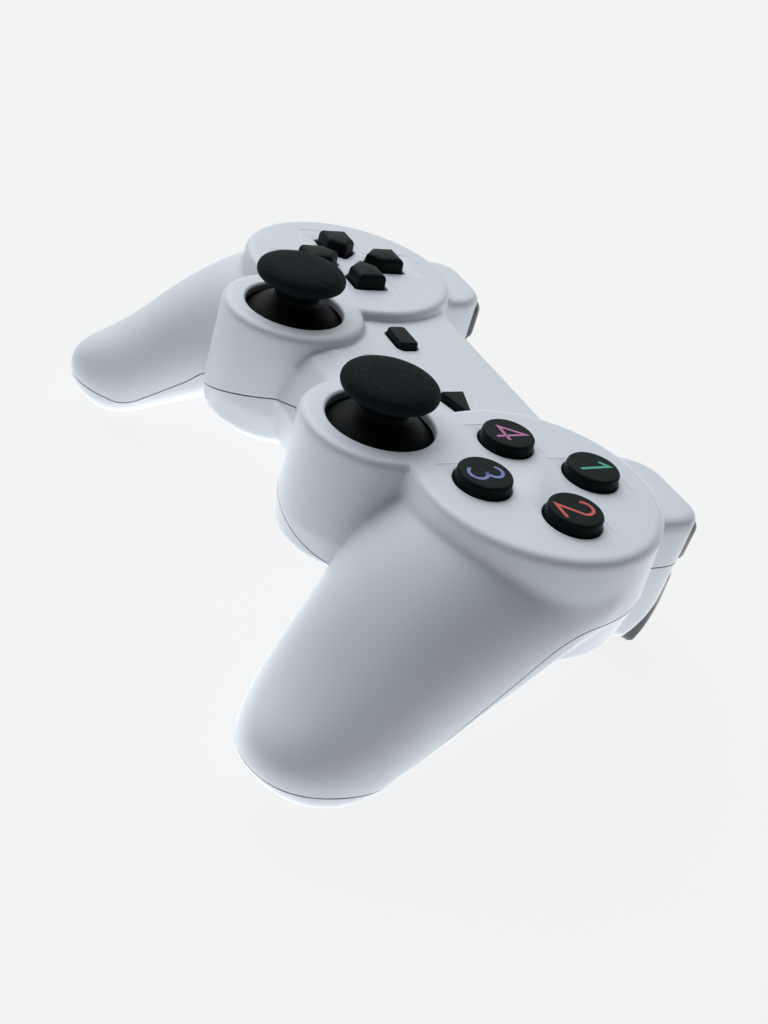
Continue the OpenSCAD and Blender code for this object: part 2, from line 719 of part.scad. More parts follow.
strip_x = 22.5;
strip_front = 6.4;
strip_back = 3.5;
home_strip = 6.5;
start_x = 15.2;
select_x = 11.5;
small_y = -1.4;
dome_low = 3;
dome_top = 2;
module centre_membrane() color(rubber) place() {
    translate([-strip_x, -strip_front, film_top]) cube([2 * strip_x, strip_front + strip_back, sheet_t]);
    translate([-home_strip, home_y - 6, film_top]) cube([2 * home_strip, 13, sheet_t]);
    for (p = [[start_x, small_y], [-select_x, small_y - 0.1], [0, home_y]])
        translate([p[0], p[1], 0]) dome(dome_low, dome_top, small_low - 0.2);
}

mat_side = 4.15;
mat_w = shoulder_out - shoulder_in - 2 * mat_side;
module bumper_membrane(s) {
    color(rubber) place() {
        translate([s * shoulder_x - mat_w / 2, mat_y, bumper_low + 1.4])
            cube([mat_w, mat_t, bumper_high - bumper_low - 2.2]);
        for (e = sides)
            translate([s * shoulder_x + e * mat_w / 3.6, mat_y + mat_t - 0.1, (bumper_low + bumper_high) / 2])
                rotate([-90, 0, 0]) cylinder(r1 = 2.6, r2 = 2, h = dome_h);
    }
}

module left_bumper_membrane() bumper_membrane(-1);
module right_bumper_membrane() bumper_membrane(1);

module layer_outline(r) {
    for (s = sides)
        translate([s * pod_x, 0]) circle(r = r);
    translate([-pod_x, -7.6]) square([2 * pod_x, 15.6]);
    translate([-7.4, home_y - 6]) square([14.8, 14]);
}

module button_film() color([0.75, 0.55, 0.25]) place() translate([0, 0, frame_top]) linear_extrude(film_t)
    difference() {
        layer_outline(pad_r);
        translate([-pod_x, 0]) circle(r = 6);
    }

module inner_frame() color(charcoal) place() {
    translate([0, 0, frame_top - frame_t]) linear_extrude(frame_t) layer_outline(frame_r);
    for (s = sides) {
        translate([s * 33, 5, board_top]) cylinder(r = 1.8, h = frame_top - board_top - 0.5);
        translate([s * 5, -17, board_top]) cylinder(r = 1.6, h = frame_top - board_top - 0.5);
        difference() {
            translate([-pod_x + s * 4.6 - 0.9, -1.2, frame_top - 0.5])
                cube([1.8, 2.4, cross_z - frame_top + 0.5]);
            translate([-pod_x, 0, cross_z]) rotate([0, 90, 0])
                cylinder(r = cross_r + run_gap, h = 20, center = true);
        }
    }
}

board_x = pod_x - 9;
board_tongue = 7;
board_back = 9.4;
board_front = 18.8;
module main_board() color(board) place() translate([0, 0, board_top - board_t]) linear_extrude(board_t) {
    translate([-board_x, -9]) square([2 * board_x, 9 + board_back]);
    translate([-stick_x - 0.5, -board_front]) square([2 * stick_x + 1, board_front - 4.8]);
    translate([-board_tongue, 0]) square([2 * board_tongue, deck_back - wall - 0.4]);
    for (s = sides)
        translate([s * stick_x, stick_y]) circle(r = 13.6);
}

tray_low = floor_z + wall;
tray_t = 0.8;
module battery_tray() color(charcoal) place() difference() {
    translate([-battery_x / 2 - 1, -battery_y / 2 - 1, tray_low]) cube([battery_x + 2, battery_y + 2, 4.4]);
    translate([-battery_x / 2 - 0.1, -battery_y / 2 - 0.1, tray_low + tray_t])
        cube([battery_x + 0.2, battery_y + 0.2, 10]);
}

module battery_pack() color([0.82, 0.83, 0.86]) place()
    translate([-battery_x / 2, -battery_y / 2, tray_low + tray_t]) cube([battery_x, battery_y, battery_z]);

module motor(s) {
    color(steel) place() motor_axis(s) {
        cylinder(r = motor_r, h = motor_len);
        cylinder(r = 1, h = motor_len + 1);
    }
}

module left_motor() motor(-1);
module right_motor() motor(1);

// half-round weight on the motor's spindle; the left one is larger
module weight(s) {
    big = s < 0 ? 6.6 : 5.6;
    color([0.55, 0.5, 0.42]) place() motor_axis(s) translate([0, 0, motor_len + 1]) {
        cylinder(r = 2.2, h = 4.4);
        intersection() {
            cylinder(r = big, h = 4.4);
            translate([-10, 0, -1]) cube([20, 10, 10]);
        }
    }
}

module left_weight() weight(-1);
module right_weight() weight(1);

module case_screws() color(steel) place() for (p = screws) {
    translate([p[0], p[1], p[3] - 1.6]) cylinder(r = head_r, h = 1.6);
    translate([p[0], p[1], p[3] - 0.5]) cylinder(r = screw_r, h = p[2] - p[3] + 6);
}

module charge_socket() color(steel) place() {
    difference() {
        translate([-3.9, 8, board_top]) cube([7.8, 9.1, 4]);
        translate([-3.4, 9.5, board_top + 0.5]) cube([6.8, 10, 3]);
    }
    translate([-2.2, 9, board_top + 1.6]) cube([4.4, 6.5, 0.8]);
}

module light_window() color([0.75, 0.25, 0.22]) place() {
    translate([-19, 13, -10.6]) cube([38, 1.7, 3.2]);
    for (x = [-15, -9, 9, 15])
        translate([x - 2.2, 14, -9.6]) cube([4.4, deck_back - 14, 1.2]);
}

front_shell();
rear_shell();
dpad();
dpad_pivot();
face_button_top();
face_button_right();
face_button_bottom();
face_button_left();
select_button();
start_button();
home_button();
left_bumper();
right_bumper();
left_trigger();
right_trigger();
left_trigger_pin();
right_trigger_pin();
left_stick_cap();
right_stick_cap();
left_stick_shaft();
right_stick_shaft();
left_stick_yoke();
right_stick_yoke();
left_stick_arch();
right_stick_arch();
left_stick_housing();
right_stick_housing();
left_stick_sensors();
right_stick_sensors();
left_stick_plunger();
right_stick_plunger();
left_stick_switch();
right_stick_switch();
dpad_membrane();
face_membrane();
centre_membrane();
left_bumper_membrane();
right_bumper_membrane();
button_film();
inner_frame();
main_board();
battery_pack();
battery_tray();
left_motor();
right_motor();
left_weight();
right_weight();
case_screws();
charge_socket();
light_window();
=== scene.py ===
import json
import math

import bmesh
import bpy
import numpy as np
import openvdb
from mathutils import Matrix, Vector


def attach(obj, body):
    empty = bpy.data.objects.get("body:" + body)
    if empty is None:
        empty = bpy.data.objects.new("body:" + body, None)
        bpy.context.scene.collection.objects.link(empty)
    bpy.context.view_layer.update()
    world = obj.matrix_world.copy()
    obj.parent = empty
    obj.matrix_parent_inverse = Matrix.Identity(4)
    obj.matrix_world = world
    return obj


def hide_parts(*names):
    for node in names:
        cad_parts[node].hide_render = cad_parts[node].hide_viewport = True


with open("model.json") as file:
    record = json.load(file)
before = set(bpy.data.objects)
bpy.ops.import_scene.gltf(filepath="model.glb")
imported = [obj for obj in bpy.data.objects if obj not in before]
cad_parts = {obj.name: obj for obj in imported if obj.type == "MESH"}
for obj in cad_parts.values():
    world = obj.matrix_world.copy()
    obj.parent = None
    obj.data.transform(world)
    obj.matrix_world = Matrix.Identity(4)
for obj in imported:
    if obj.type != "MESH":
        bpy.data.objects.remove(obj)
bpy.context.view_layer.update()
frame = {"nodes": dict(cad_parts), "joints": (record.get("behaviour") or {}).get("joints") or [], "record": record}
joints = {joint["name"]: joint for joint in frame["joints"]}
print("frame loaded,", len(frame["nodes"]), "nodes")

# all pieces are drawn in millimetres on the level deck, then tipped onto the grips like the solids
stick = {"x": 23.5, "y": -23.7, "pivot": -11.5, "well": 11.2, "wellRound": 0.8}
right = Vector((1, 0, 0))
away = Vector(joints["right_stick_tilt_left_right"]["axis"]).normalized()
up = -Vector(joints["face_button_top_press"]["axis"]).normalized()
tip = Matrix((right, away, up)).transposed()
pivotPoint = Vector(joints["right_stick_tilt_left_right"]["pos_m"])
deckMiddle = pivotPoint - tip @ Vector((stick["x"], stick["y"], stick["pivot"])) * 0.001
toRow = Matrix.Translation(deckMiddle) @ tip.to_4x4() @ Matrix.Scale(0.001, 4)
sides = {"left": -1, "right": 1}


# mesh helpers

def meshFrom(name, points, faces):
    mesh = bpy.data.meshes.new(name)
    mesh.from_pydata([tuple(p) for p in points], [], [tuple(f) for f in faces])
    mesh.update()
    return mesh


def addPiece(name, mesh, body, finish, sharp=35, stands=()):
    mesh.transform(toRow)
    mesh.polygons.foreach_set("use_smooth", np.ones(len(mesh.polygons), bool))
    mesh.set_sharp_from_angle(angle=math.radians(sharp))
    mesh.materials.clear()
    mesh.materials.append(finishes[finish])
    piece = bpy.data.objects.new(name, mesh)
    bpy.context.scene.collection.objects.link(piece)
    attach(piece, body)
    if stands:
        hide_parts(*stands)
    return piece


def turned(profile, steps=96, ring=False):  # radius and height, from axis to axis or as a closed ring
    points, faces, rings = [], [], []
    for radius, height in profile:
        if radius < 1e-6:
            rings.append([len(points)])
            points.append((0, 0, height))
            continue
        rings.append(list(range(len(points), len(points) + steps)))
        for i in range(steps):
            a = 2 * math.pi * i / steps
            points.append((radius * math.cos(a), radius * math.sin(a), height))
    for a, b in zip(rings, rings[1:] + rings[:ring]):
        for i in range(steps):
            j = (i + 1) % steps
            if len(a) == 1 and len(b) > 1:
                faces.append((a[0], b[i], b[j]))
            elif len(b) == 1 and len(a) > 1:
                faces.append((a[i], b[0], a[j]))
            elif len(a) > 1:
                faces.append((a[i], b[i], b[j], a[j]))
    return points, faces


def shifted(shape, x=0, y=0, z=0, spin=0):
    c, s = math.cos(spin), math.sin(spin)
    points = [(px * c - py * s + x, px * s + py * c + y, pz + z) for px, py, pz in shape[0]]
    return points, shape[1]


def joined(shapes):
    points, faces = [], []
    for shape in shapes:
        first = len(points)
        points += list(shape[0])
        faces += [tuple(i + first for i in face) for face in shape[1]]
    return points, faces


def curveThrough(points, steps):  # smooth curve through the given points
    p = [points[0]] + list(points) + [points[-1]]
    out = []
    for a, b, c, d in zip(p, p[1:], p[2:], p[3:]):
        for i in range(steps):
            t = i / steps
            out.append(tuple(0.5 * (2 * b[k] + (c[k] - a[k]) * t
                + (2 * a[k] - 5 * b[k] + 4 * c[k] - d[k]) * t * t
                + (3 * b[k] - a[k] - 3 * c[k] + d[k]) * t ** 3) for k in range(len(b))))
    return out + [tuple(points[-1])]


def corners(points):  # each point of a closed outline between its neighbours
    p = [Vector(point) for point in points]
    return zip(p[-1:] + p[:-1], p, p[1:] + p[:1])


def insetOutline(points, distance):  # convex outline, anticlockwise
    out = []
    for before, here, after in corners(points):
        a, b = here - before, after - here
        na, nb = Vector((-a.y, a.x)).normalized(), Vector((-b.y, b.x)).normalized()
        out.append(tuple(here + (na + nb) * distance / (1 + na.dot(nb))))
    return out


def roundOutline(points, radius, steps=5):
    out = []
    for before, here, after in corners(points):
        a, b = (before - here).normalized(), (after - here).normalized()
        longest = 0.45 * min((before - here).length, (after - here).length)
        reach = min(radius / math.tan(a.angle(b) / 2), longest)
        start, end = here + a * reach, here + b * reach
        for i in range(steps + 1):
            t = i / steps
            out.append(tuple((1 - t) ** 2 * start + 2 * t * (1 - t) * here + t * t * end))
    return out


def quarterTurn(steps):
    return [math.pi / 2 * i / steps for i in range(steps + 1)]


def ringWalls(rings):  # side faces through outlines of equal length, each with its height
    n = len(rings[0][0])
    points = [(p[0], p[1], z) for ring, z in rings for p in ring]
    faces = []
    for layer in range(len(rings) - 1):
        for i in range(n):
            a, b = layer * n + i, layer * n + (i + 1) % n
            faces.append((a, b, b + n, a + n))
    return points, faces


def keyBody(outline, low, top, edge, corner, draft=0.0, crown=0.0):  # moulded key with a soft top edge
    layers = [(low, 0.0), (top - edge, draft)]
    for a in quarterTurn(6)[1:]:
        layers.append((top - edge + edge * math.sin(a), draft + edge * (1 - math.cos(a))))
    rings = []
    for height, inset in layers:
        rings.append((roundOutline(insetOutline(outline, inset), max(corner - inset, 0.12)), height))
    rim = rings[-1][0]
    n = len(rim)
    middle = [sum(p[k] for p in rim) / n for k in range(2)]
    for share in (0.7, 0.4):
        ring = [tuple(mix(middle[k], p[k], share) for k in range(2)) for p in rim]
        rings.append((ring, top + crown * (1 - share * share)))
    points, faces = ringWalls(rings)
    last = len(points) - n
    points.append((*middle, top + crown))
    faces += [(last + i, last + (i + 1) % n, len(points) - 1) for i in range(n)]
    faces.append(tuple(range(n - 1, -1, -1)))
    return points, faces


def prism(outline, low, high):
    n = len(outline)
    points = [(p[0], p[1], low) for p in outline] + [(p[0], p[1], high) for p in outline]
    faces = [(i, (i + 1) % n, n + (i + 1) % n, n + i) for i in range(n)]
    return points, faces + [tuple(range(n - 1, -1, -1)), tuple(range(n, 2 * n))]


def alongX(outline, low, high):  # prism along x, outline in y and z
    points, faces = prism(outline, low, high)
    return [(z, x, y) for x, y, z in points], faces


def alongY(outline, start, end):  # prism along y, outline in x and z
    points, faces = prism(outline, start, end)
    return [(x, z, y) for x, y, z in points], [face[::-1] for face in faces]


def mirrored(shape):
    points, faces = shape
    return [(-x, y, z) for x, y, z in points], [tuple(face)[::-1] for face in faces]


def blockShape(low, high):
    outline = [(low[0], low[1]), (high[0], low[1]), (high[0], high[1]), (low[0], high[1])]
    return prism(outline, low[2], high[2])


def outward(mesh):
    bm = bmesh.new()
    bm.from_mesh(mesh)
    bmesh.ops.recalc_face_normals(bm, faces=bm.faces)
    bm.to_mesh(mesh)
    bm.free()
    return mesh


def closedMesh(name, shape):
    return outward(meshFrom(name, *shape))


def carve(mesh, shape, operation="DIFFERENCE"):  # boolean with a closed shape, returns the new mesh
    base = bpy.data.objects.new("base", mesh)
    tool = bpy.data.objects.new("tool", closedMesh("tool", shape))
    for item in (base, tool):
        bpy.context.scene.collection.objects.link(item)
    step = base.modifiers.new("carve", "BOOLEAN")
    step.solver = "MANIFOLD"
    step.operation = operation
    step.object = tool
    graph = bpy.context.evaluated_depsgraph_get()
    made = bpy.data.meshes.new_from_object(base.evaluated_get(graph))
    toolMesh = tool.data
    bpy.data.objects.remove(base)
    bpy.data.objects.remove(tool)
    bpy.data.meshes.remove(toolMesh)
    if not len(made.polygons):
        raise RuntimeError("a carved mesh came out empty")
    return made


# housing: distance fields of the moulded forms, blended like the fillets of the moulding

housing = {
    "podX": 46, "podR": 25.9, "podRound": 1.7, "podFlare": 0.9, "podFoot": (-6, -0.5, 5),
    "towerR": 16.3, "towerRound": 1.7, "towerFlare": 0.8, "towerFoot": (-4, 0.3, 5), "towerBelly": -20,
    "towerDrop": 2, "towerRoom": 14.7, "roomRise": 3, "seam": -14.5, "floor": -28, "wall": 1.9,
    "deck": -2.2, "deckBack": 17.2, "deckFront": -31, "deckStart": -14, "deckFoot": (3, 4), "deckRound": 1.2,
    "fillet": 0.9, "rimFillet": 0.7, "lipFillet": 0.3, "fadeRise": (1, 7), "gap": 0.32, "shy": 0.2,
    "spacing": 0.7, "innerSpacing": 1.4, "boxLow": (-83, -63, -53), "boxHigh": (83, 39, 2.1),
}
lip = {
    "round": 1.6, "start": -10, "roll": [(-20.4, 0), (-25, -1.1)],
    "face": [(2.2, -7.4), (0, -15), (1.5, -24)], "foot": 6,
}
shoulder = {
    "in": 33.5, "out": 58.8, "back": 8, "front": 36.6, "top": -3.4, "low": -26, "edge": 2.4,
    "inRound": 10, "outRound": 7, "topRound": 1.8,
    "keel": [(36.6, -24.2), (29.6, -32.8), (27.8, -34.5), (24.5, -33.9), (16, -29)], "keelStart": 7,
}
grip = {
    "x": 45.9, "splay": math.radians(22.1), "run": 46.2, "end": 18, "start": 0.12, "back": 24, "past": 1.3,
    "power": 2.2, "bow": 0.84, "width": (28, 17.1), "depth": (13.2, 8.7),
    "mid": (-8.3, -24.2, -39.1), "rise": (8.4, 29.1, 17.1),
}
seam = {
    "roofX": 38, "roof": -12, "fall": 0.37, "slope": (13.9, -0.358, 0.75), "tip": -41.9,
    "tipBlend": 3.0, "slopeBlend": 5.0, "roofEase": (-20.5, -17.5), "sideEase": (-0.5, 2.5),
    "spanX": (-88, 88.1), "spanY": (-70, 46.1), "spacing": 1.1, "ceiling": 30,
}


def outlineDistance(points, u, v):  # signed distance to a closed outline, negative inside
    far = None
    flips = None
    for (ax, ay), (bx, by) in zip(points, points[1:] + points[:1]):
        ex, ey = bx - ax, by - ay
        wx, wy = u - ax, v - ay
        t = np.clip((wx * ex + wy * ey) / (ex * ex + ey * ey), 0, 1)
        d = (wx - ex * t) ** 2 + (wy - ey * t) ** 2
        above, below, turn = v >= ay, v < by, ex * wy > ey * wx
        flip = (above & below & turn) | (~above & ~below & ~turn)
        far = d if far is None else np.minimum(far, d)
        flips = flip if flips is None else flips ^ flip
    return np.where(flips, -1.0, 1.0) * np.sqrt(far)


def softUnion(a, b, blend):
    k = np.maximum(blend, 1e-3)
    h = np.maximum(k - np.abs(a - b), 0) / k
    return np.minimum(a, b) - h * h * k / 4


def mix(a, b, t):
    return a + (b - a) * t


def bend(p, t):
    return (1 - t) ** 2 * p[0] + 2 * t * (1 - t) * p[1] + t * t * p[2]


def step01(low, high, v):
    t = np.clip((v - low) / (high - low), 0, 1)
    return t * t * (3 - 2 * t)


def podDistance(x, y, z):
    h, r = housing, housing["podRound"]
    bottom, side, rise = h["podFoot"]
    profile = [(0, -r), (0, h["floor"] + r), (h["podR"] + bottom - r, h["floor"] + r),
        (h["podR"] + side - r, h["floor"] + rise), (h["podR"] + h["podFlare"] - r, h["seam"]),
        (h["podR"] - r, -r)]
    return outlineDistance(profile, np.hypot(x - h["podX"], y), z) - r


def towerDistance(x, y, z):
    h, r = housing, housing["towerRound"]
    bottom, side, rise = h["towerFoot"]
    low = h["floor"] - h["towerDrop"]
    profile = [(0, -r), (0, low + r), (h["towerR"] + bottom - r, low + r),
        (h["towerR"] + side - r, low + rise), (h["towerR"] + h["towerFlare"] - r, h["towerBelly"]),
        (h["towerR"] - r, -r)]
    return outlineDistance(profile, np.hypot(x - stick["x"], y - stick["y"]), z) - r


def deckDistance(x, y, z):
    h, r = housing, housing["deckRound"]
    start, back, top, low = h["deckStart"], h["deckBack"], h["deck"], h["floor"]
    inset, rise = h["deckFoot"]
    profile = [(start, top - r), (start, low + r), (back - inset - r, low + r), (back - r, low + rise),
        (back - r, top - r)]
    return np.maximum(outlineDistance(profile, y, z) - r, np.abs(x) - h["podX"])


def lipDistance(x, y, z):  # front of the deck, which rolls down between the towers
    r, start = lip["round"], lip["start"]
    front, top, low = housing["deckFront"], housing["deck"], housing["floor"]
    profile = [(start, top - r)] + [(ahead, top + drop - r) for ahead, drop in lip["roll"]]
    profile += [(front + inset + r, height) for inset, height in lip["face"]]
    profile += [(front + lip["foot"], low + r), (start, low + r)]
    return np.maximum(outlineDistance(profile, y, z) - r, np.abs(x) - stick["x"])


def arcPoints(x, y, r, start, end, steps=14):
    return [(x + r * math.cos(math.radians(start + (end - start) * i / steps)),
        y + r * math.sin(math.radians(start + (end - start) * i / steps))) for i in range(steps + 1)]


def softCut(a, b, blend):  # common space of two forms, with a rounded edge
    return -softUnion(-a, -b, blend)


def shoulderDistance(x, y, z):
    h = shoulder
    ri, ro, rt = h["inRound"], h["outRound"], h["topRound"]
    plan = [(h["in"], h["back"]), (h["out"], h["back"])]
    plan += arcPoints(h["out"] - ro, h["front"] - ro, ro, 0, 90, 6)
    plan += arcPoints(h["in"] + ri, h["front"] - ri, ri, 90, 180, 9)
    side = [(h["keelStart"], h["top"]), (h["keelStart"], h["low"])] + h["keel"][::-1]
    side += arcPoints(h["front"] - rt, h["top"] - rt, rt, 0, 90, 8)
    return softCut(outlineDistance(plan, x, y), outlineDistance(side, y, z), h["edge"])


def runOn(values, u):  # carries a slope on into the round end and eases it off
    return (values[-1] - values[-2]) * grip["end"] / grip["run"] * (u - u * u / 2)


def gripLevel(x, y, z):  # 1 on the surface
    g = grip
    along = (x - g["x"]) * math.sin(g["splay"]) - y * math.cos(g["splay"])
    across = (x - g["x"]) * math.cos(g["splay"]) + y * math.sin(g["splay"])
    t = np.clip(along / g["run"], g["start"], 1)
    u = np.clip((along - g["run"]) / g["end"], 0, g["past"])
    sink = 2 * (g["mid"][2] - g["mid"][1]) * g["end"] / g["run"]
    v = z - bend(g["mid"], t) - sink * (u - g["bow"] * u * u)
    half = mix(*g["width"], t) + runOn(g["width"], u)
    over = bend(g["rise"], t) + 2 * runOn(g["rise"], u)
    under = mix(*g["depth"], t) + runOn(g["depth"], u)
    tall = np.where(v > 0, over, under)
    ring = (np.abs(across / half) ** g["power"] + np.abs(v / tall) ** g["power"]) ** (1 / g["power"])
    w = np.clip((g["start"] * g["run"] - along) / g["back"], 0, g["past"])
    return np.sqrt(ring ** 2 + u ** 2 + w ** 2)


def gripDistance(x, y, z):
    nudge = 0.05
    level = gripLevel(x, y, z)
    slope = (gripLevel(x + nudge, y, z) - level) ** 2 + (gripLevel(x, y + nudge, z) - level) ** 2
    slope = np.sqrt(slope + (gripLevel(x, y, z + nudge) - level) ** 2) / nudge
    return (level - 1) / np.maximum(slope, 0.01) + housing["shy"]


def bodyDistance(x, y, z):
    h = housing
    x = np.abs(x)
    fade = step01(*(h["floor"] + rise for rise in h["fadeRise"]), z)  # no fillets under the flat floor
    whole = softUnion(podDistance(x, y, z), deckDistance(x, y, z), h["rimFillet"] * fade)
    whole = softUnion(whole, lipDistance(x, y, z), h["lipFillet"])
    whole = softUnion(whole, towerDistance(x, y, z), h["fillet"] * fade)
    whole = softUnion(whole, shoulderDistance(x, y, z), h["rimFillet"] * fade)
    whole = softUnion(whole, gripDistance(x, y, z), h["fillet"])
    return np.maximum(whole, z)


def cavityDistance(x, y, z):
    h = housing
    low = h["floor"] + h["roomRise"]  # above the drawn-in feet of the towers
    room = np.hypot(np.abs(x) - stick["x"], y - stick["y"]) - h["towerRoom"]
    room = np.maximum(room, np.maximum(z + h["wall"], low - z))
    return np.minimum(bodyDistance(x, y, z) + h["wall"], room)


def skinOf(distance, spacing, low, high, settle, twin=True):  # twin: the form mirrors at x = 0
    axes = [np.arange(0 if twin else low[0], high[0], spacing)]
    axes += [np.arange(low[k], high[k], spacing) for k in (1, 2)]
    field = distance(axes[0][:, None, None], axes[1][None, :, None], axes[2][None, None, :])
    corner = np.array([axis[0] for axis in axes])
    if twin:
        field = np.concatenate([field[:0:-1], field])
        corner[0] = -axes[0][-1]
    band = 3 * spacing
    volume = openvdb.FloatGrid(band)
    volume.copyFromArray(np.clip(field, -band, band).astype(np.float32))
    volume.transform = openvdb.createLinearTransform(voxelSize=spacing)
    points, quads = volume.convertToQuads(0)
    points = points.astype(float) + corner
    nudge = 0.03
    for turn in range(settle):  # draw the points onto the exact surface
        d = distance(*points.T)
        slope = np.stack([(distance(*(points + np.eye(3)[k] * nudge).T) - d) / nudge for k in range(3)], 1)
        move = d / np.maximum((slope ** 2).sum(1), 0.25)
        points -= np.clip(move, -spacing, spacing)[:, None] * slope
    return points.tolist(), quads.tolist()


def seamHeight(x, y):
    side = np.abs(x)
    level = np.full_like(side, housing["seam"])
    slope = seam["slope"][0] + seam["slope"][1] * side + seam["slope"][2] * y
    flank = softCut(slope, np.full_like(side, seam["tip"]), seam["tipBlend"])
    flank = softUnion(level, flank, seam["slopeBlend"])
    roof = mix(seam["roof"] - seam["fall"] * side, level, step01(*seam["roofEase"], y))
    return mix(roof, flank, step01(*(seam["roofX"] + ease for ease in seam["sideEase"]), side))


def seamBlock(lower):  # all the space above the seam
    xs, ys = (np.arange(*seam[span], seam["spacing"]) for span in ("spanX", "spanY"))
    gx, gy = np.meshgrid(xs, ys, indexing="ij")
    n, m = gx.shape
    bottom = np.stack([gx, gy, seamHeight(gx, gy) - lower], -1).reshape(-1, 3)
    top = np.stack([gx, gy, np.full_like(gx, seam["ceiling"])], -1).reshape(-1, 3)
    faces = []
    for i in range(n - 1):
        for j in range(m - 1):
            a = i * m + j
            faces.append((a, a + 1, a + m + 1, a + m))
            faces.append((n * m + a, n * m + a + m, n * m + a + m + 1, n * m + a + 1))
    edge = [i * m for i in range(n)] + [(n - 1) * m + j for j in range(1, m)]
    edge += [i * m + m - 1 for i in range(n - 2, -1, -1)] + [j for j in range(m - 2, 0, -1)]
    for a, b in zip(edge, edge[1:] + edge[:1]):
        faces.append((a, b, n * m + b, n * m + a))
    return list(map(tuple, np.concatenate([bottom, top]))), faces


# finishes: shared effects are node groups, each material keeps its own shader

def put(tree, kind, links=(), **values):
    node = tree.nodes.new(kind)
    for key, value in values.items():
        setattr(node, key, value)
    for target, source in links:
        if hasattr(source, "is_output"):
            tree.links.new(source, node.inputs[target])
        else:
            node.inputs[target].default_value = source
    return node


def calc(tree, operation, *values, clamp=False):
    return put(tree, "ShaderNodeMath", enumerate(values), operation=operation, use_clamp=clamp).outputs[0]


def noise(tree, place, scale, detail, rough=0.5):
    inputs = [("Vector", place), ("Scale", scale), ("Detail", detail), ("Roughness", rough)]
    return put(tree, "ShaderNodeTexNoise", inputs).outputs["Fac"]


def effectGroup(name, inputs, outputs):
    tree = bpy.data.node_groups.new(name, "ShaderNodeTree")
    for label, value in inputs.items():
        entry = tree.interface.new_socket(label, in_out="INPUT", socket_type="NodeSocketFloat")
        entry.default_value = value
    for label in outputs:
        tree.interface.new_socket(label, in_out="OUTPUT", socket_type="NodeSocketFloat")
    return tree, tree.nodes.new("NodeGroupInput").outputs, tree.nodes.new("NodeGroupOutput").inputs


def buildGrain():  # spark-eroded mould texture and slow drift of tone
    tree, given, result = effectGroup("mouldGrain", {"Scale": 2400, "Drift": 30}, ("Height", "Tone"))
    place = put(tree, "ShaderNodeTexCoord").outputs["Object"]
    tree.links.new(noise(tree, place, given["Scale"], 2.0, 0.55), result["Height"])
    tree.links.new(noise(tree, place, given["Drift"], 3.0), result["Tone"])
    return tree


def buildPebble():  # pebbled rubber
    tree, given, result = effectGroup("rubberPebble", {"Scale": 1900}, ("Height", "Tone"))
    place = put(tree, "ShaderNodeTexCoord").outputs["Object"]
    inputs = [("Vector", place), ("Scale", given["Scale"])]
    cells = put(tree, "ShaderNodeTexVoronoi", inputs, feature="SMOOTH_F1").outputs["Distance"]
    height = calc(tree, "ADD", cells, noise(tree, place, given["Scale"], 1.0))
    tree.links.new(height, result["Height"])
    tree.links.new(noise(tree, place, 120.0, 4.0), result["Tone"])
    return tree


def buildWear():  # polished edges and corners
    tree, given, result = effectGroup("edgeWear", {"Amount": 0.5, "Scale": 400}, ("Mask",))
    place = put(tree, "ShaderNodeTexCoord").outputs["Object"]
    sharp = put(tree, "ShaderNodeNewGeometry").outputs["Pointiness"]
    edge = put(tree, "ShaderNodeMapRange", [("Value", sharp), ("From Min", 0.52), ("From Max", 0.62)])
    patchy = calc(tree, "MULTIPLY", edge.outputs[0], noise(tree, place, given["Scale"], 3.0))
    tree.links.new(calc(tree, "MULTIPLY", patchy, given["Amount"]), result["Mask"])
    return tree


def buildDust():  # a trace of dust on what faces up
    tree, given, result = effectGroup("lyingDust", {"Amount": 0.2, "Scale": 900}, ("Mask",))
    place = put(tree, "ShaderNodeTexCoord").outputs["Object"]
    normal = put(tree, "ShaderNodeNewGeometry").outputs["Normal"]
    level = put(tree, "ShaderNodeSeparateXYZ", [(0, normal)]).outputs["Z"]
    speck = noise(tree, place, given["Scale"], 4.0)
    few = put(tree, "ShaderNodeMapRange", [("Value", speck), ("From Min", 0.56), ("From Max", 0.78)])
    lies = calc(tree, "MULTIPLY", few.outputs[0], level, clamp=True)
    tree.links.new(calc(tree, "MULTIPLY", lies, given["Amount"]), result["Mask"])
    return tree


effects = {"grain": buildGrain(), "pebble": buildPebble(), "wear": buildWear(), "dust": buildDust()}


def useEffect(tree, name, **values):
    node = tree.nodes.new("ShaderNodeGroup")
    node.node_tree = effects[name]
    for key, value in values.items():
        node.inputs[key].default_value = value
    return node.outputs


def mixColour(tree, amount, a, b):
    node = put(tree, "ShaderNodeMix", data_type="RGBA")
    for socket, value in ((0, amount), (6, a), (7, b)):
        if hasattr(value, "is_output"):
            tree.links.new(value, node.inputs[socket])
        else:
            node.inputs[socket].default_value = value if socket == 0 else (*value, 1)
    return node.outputs[2]


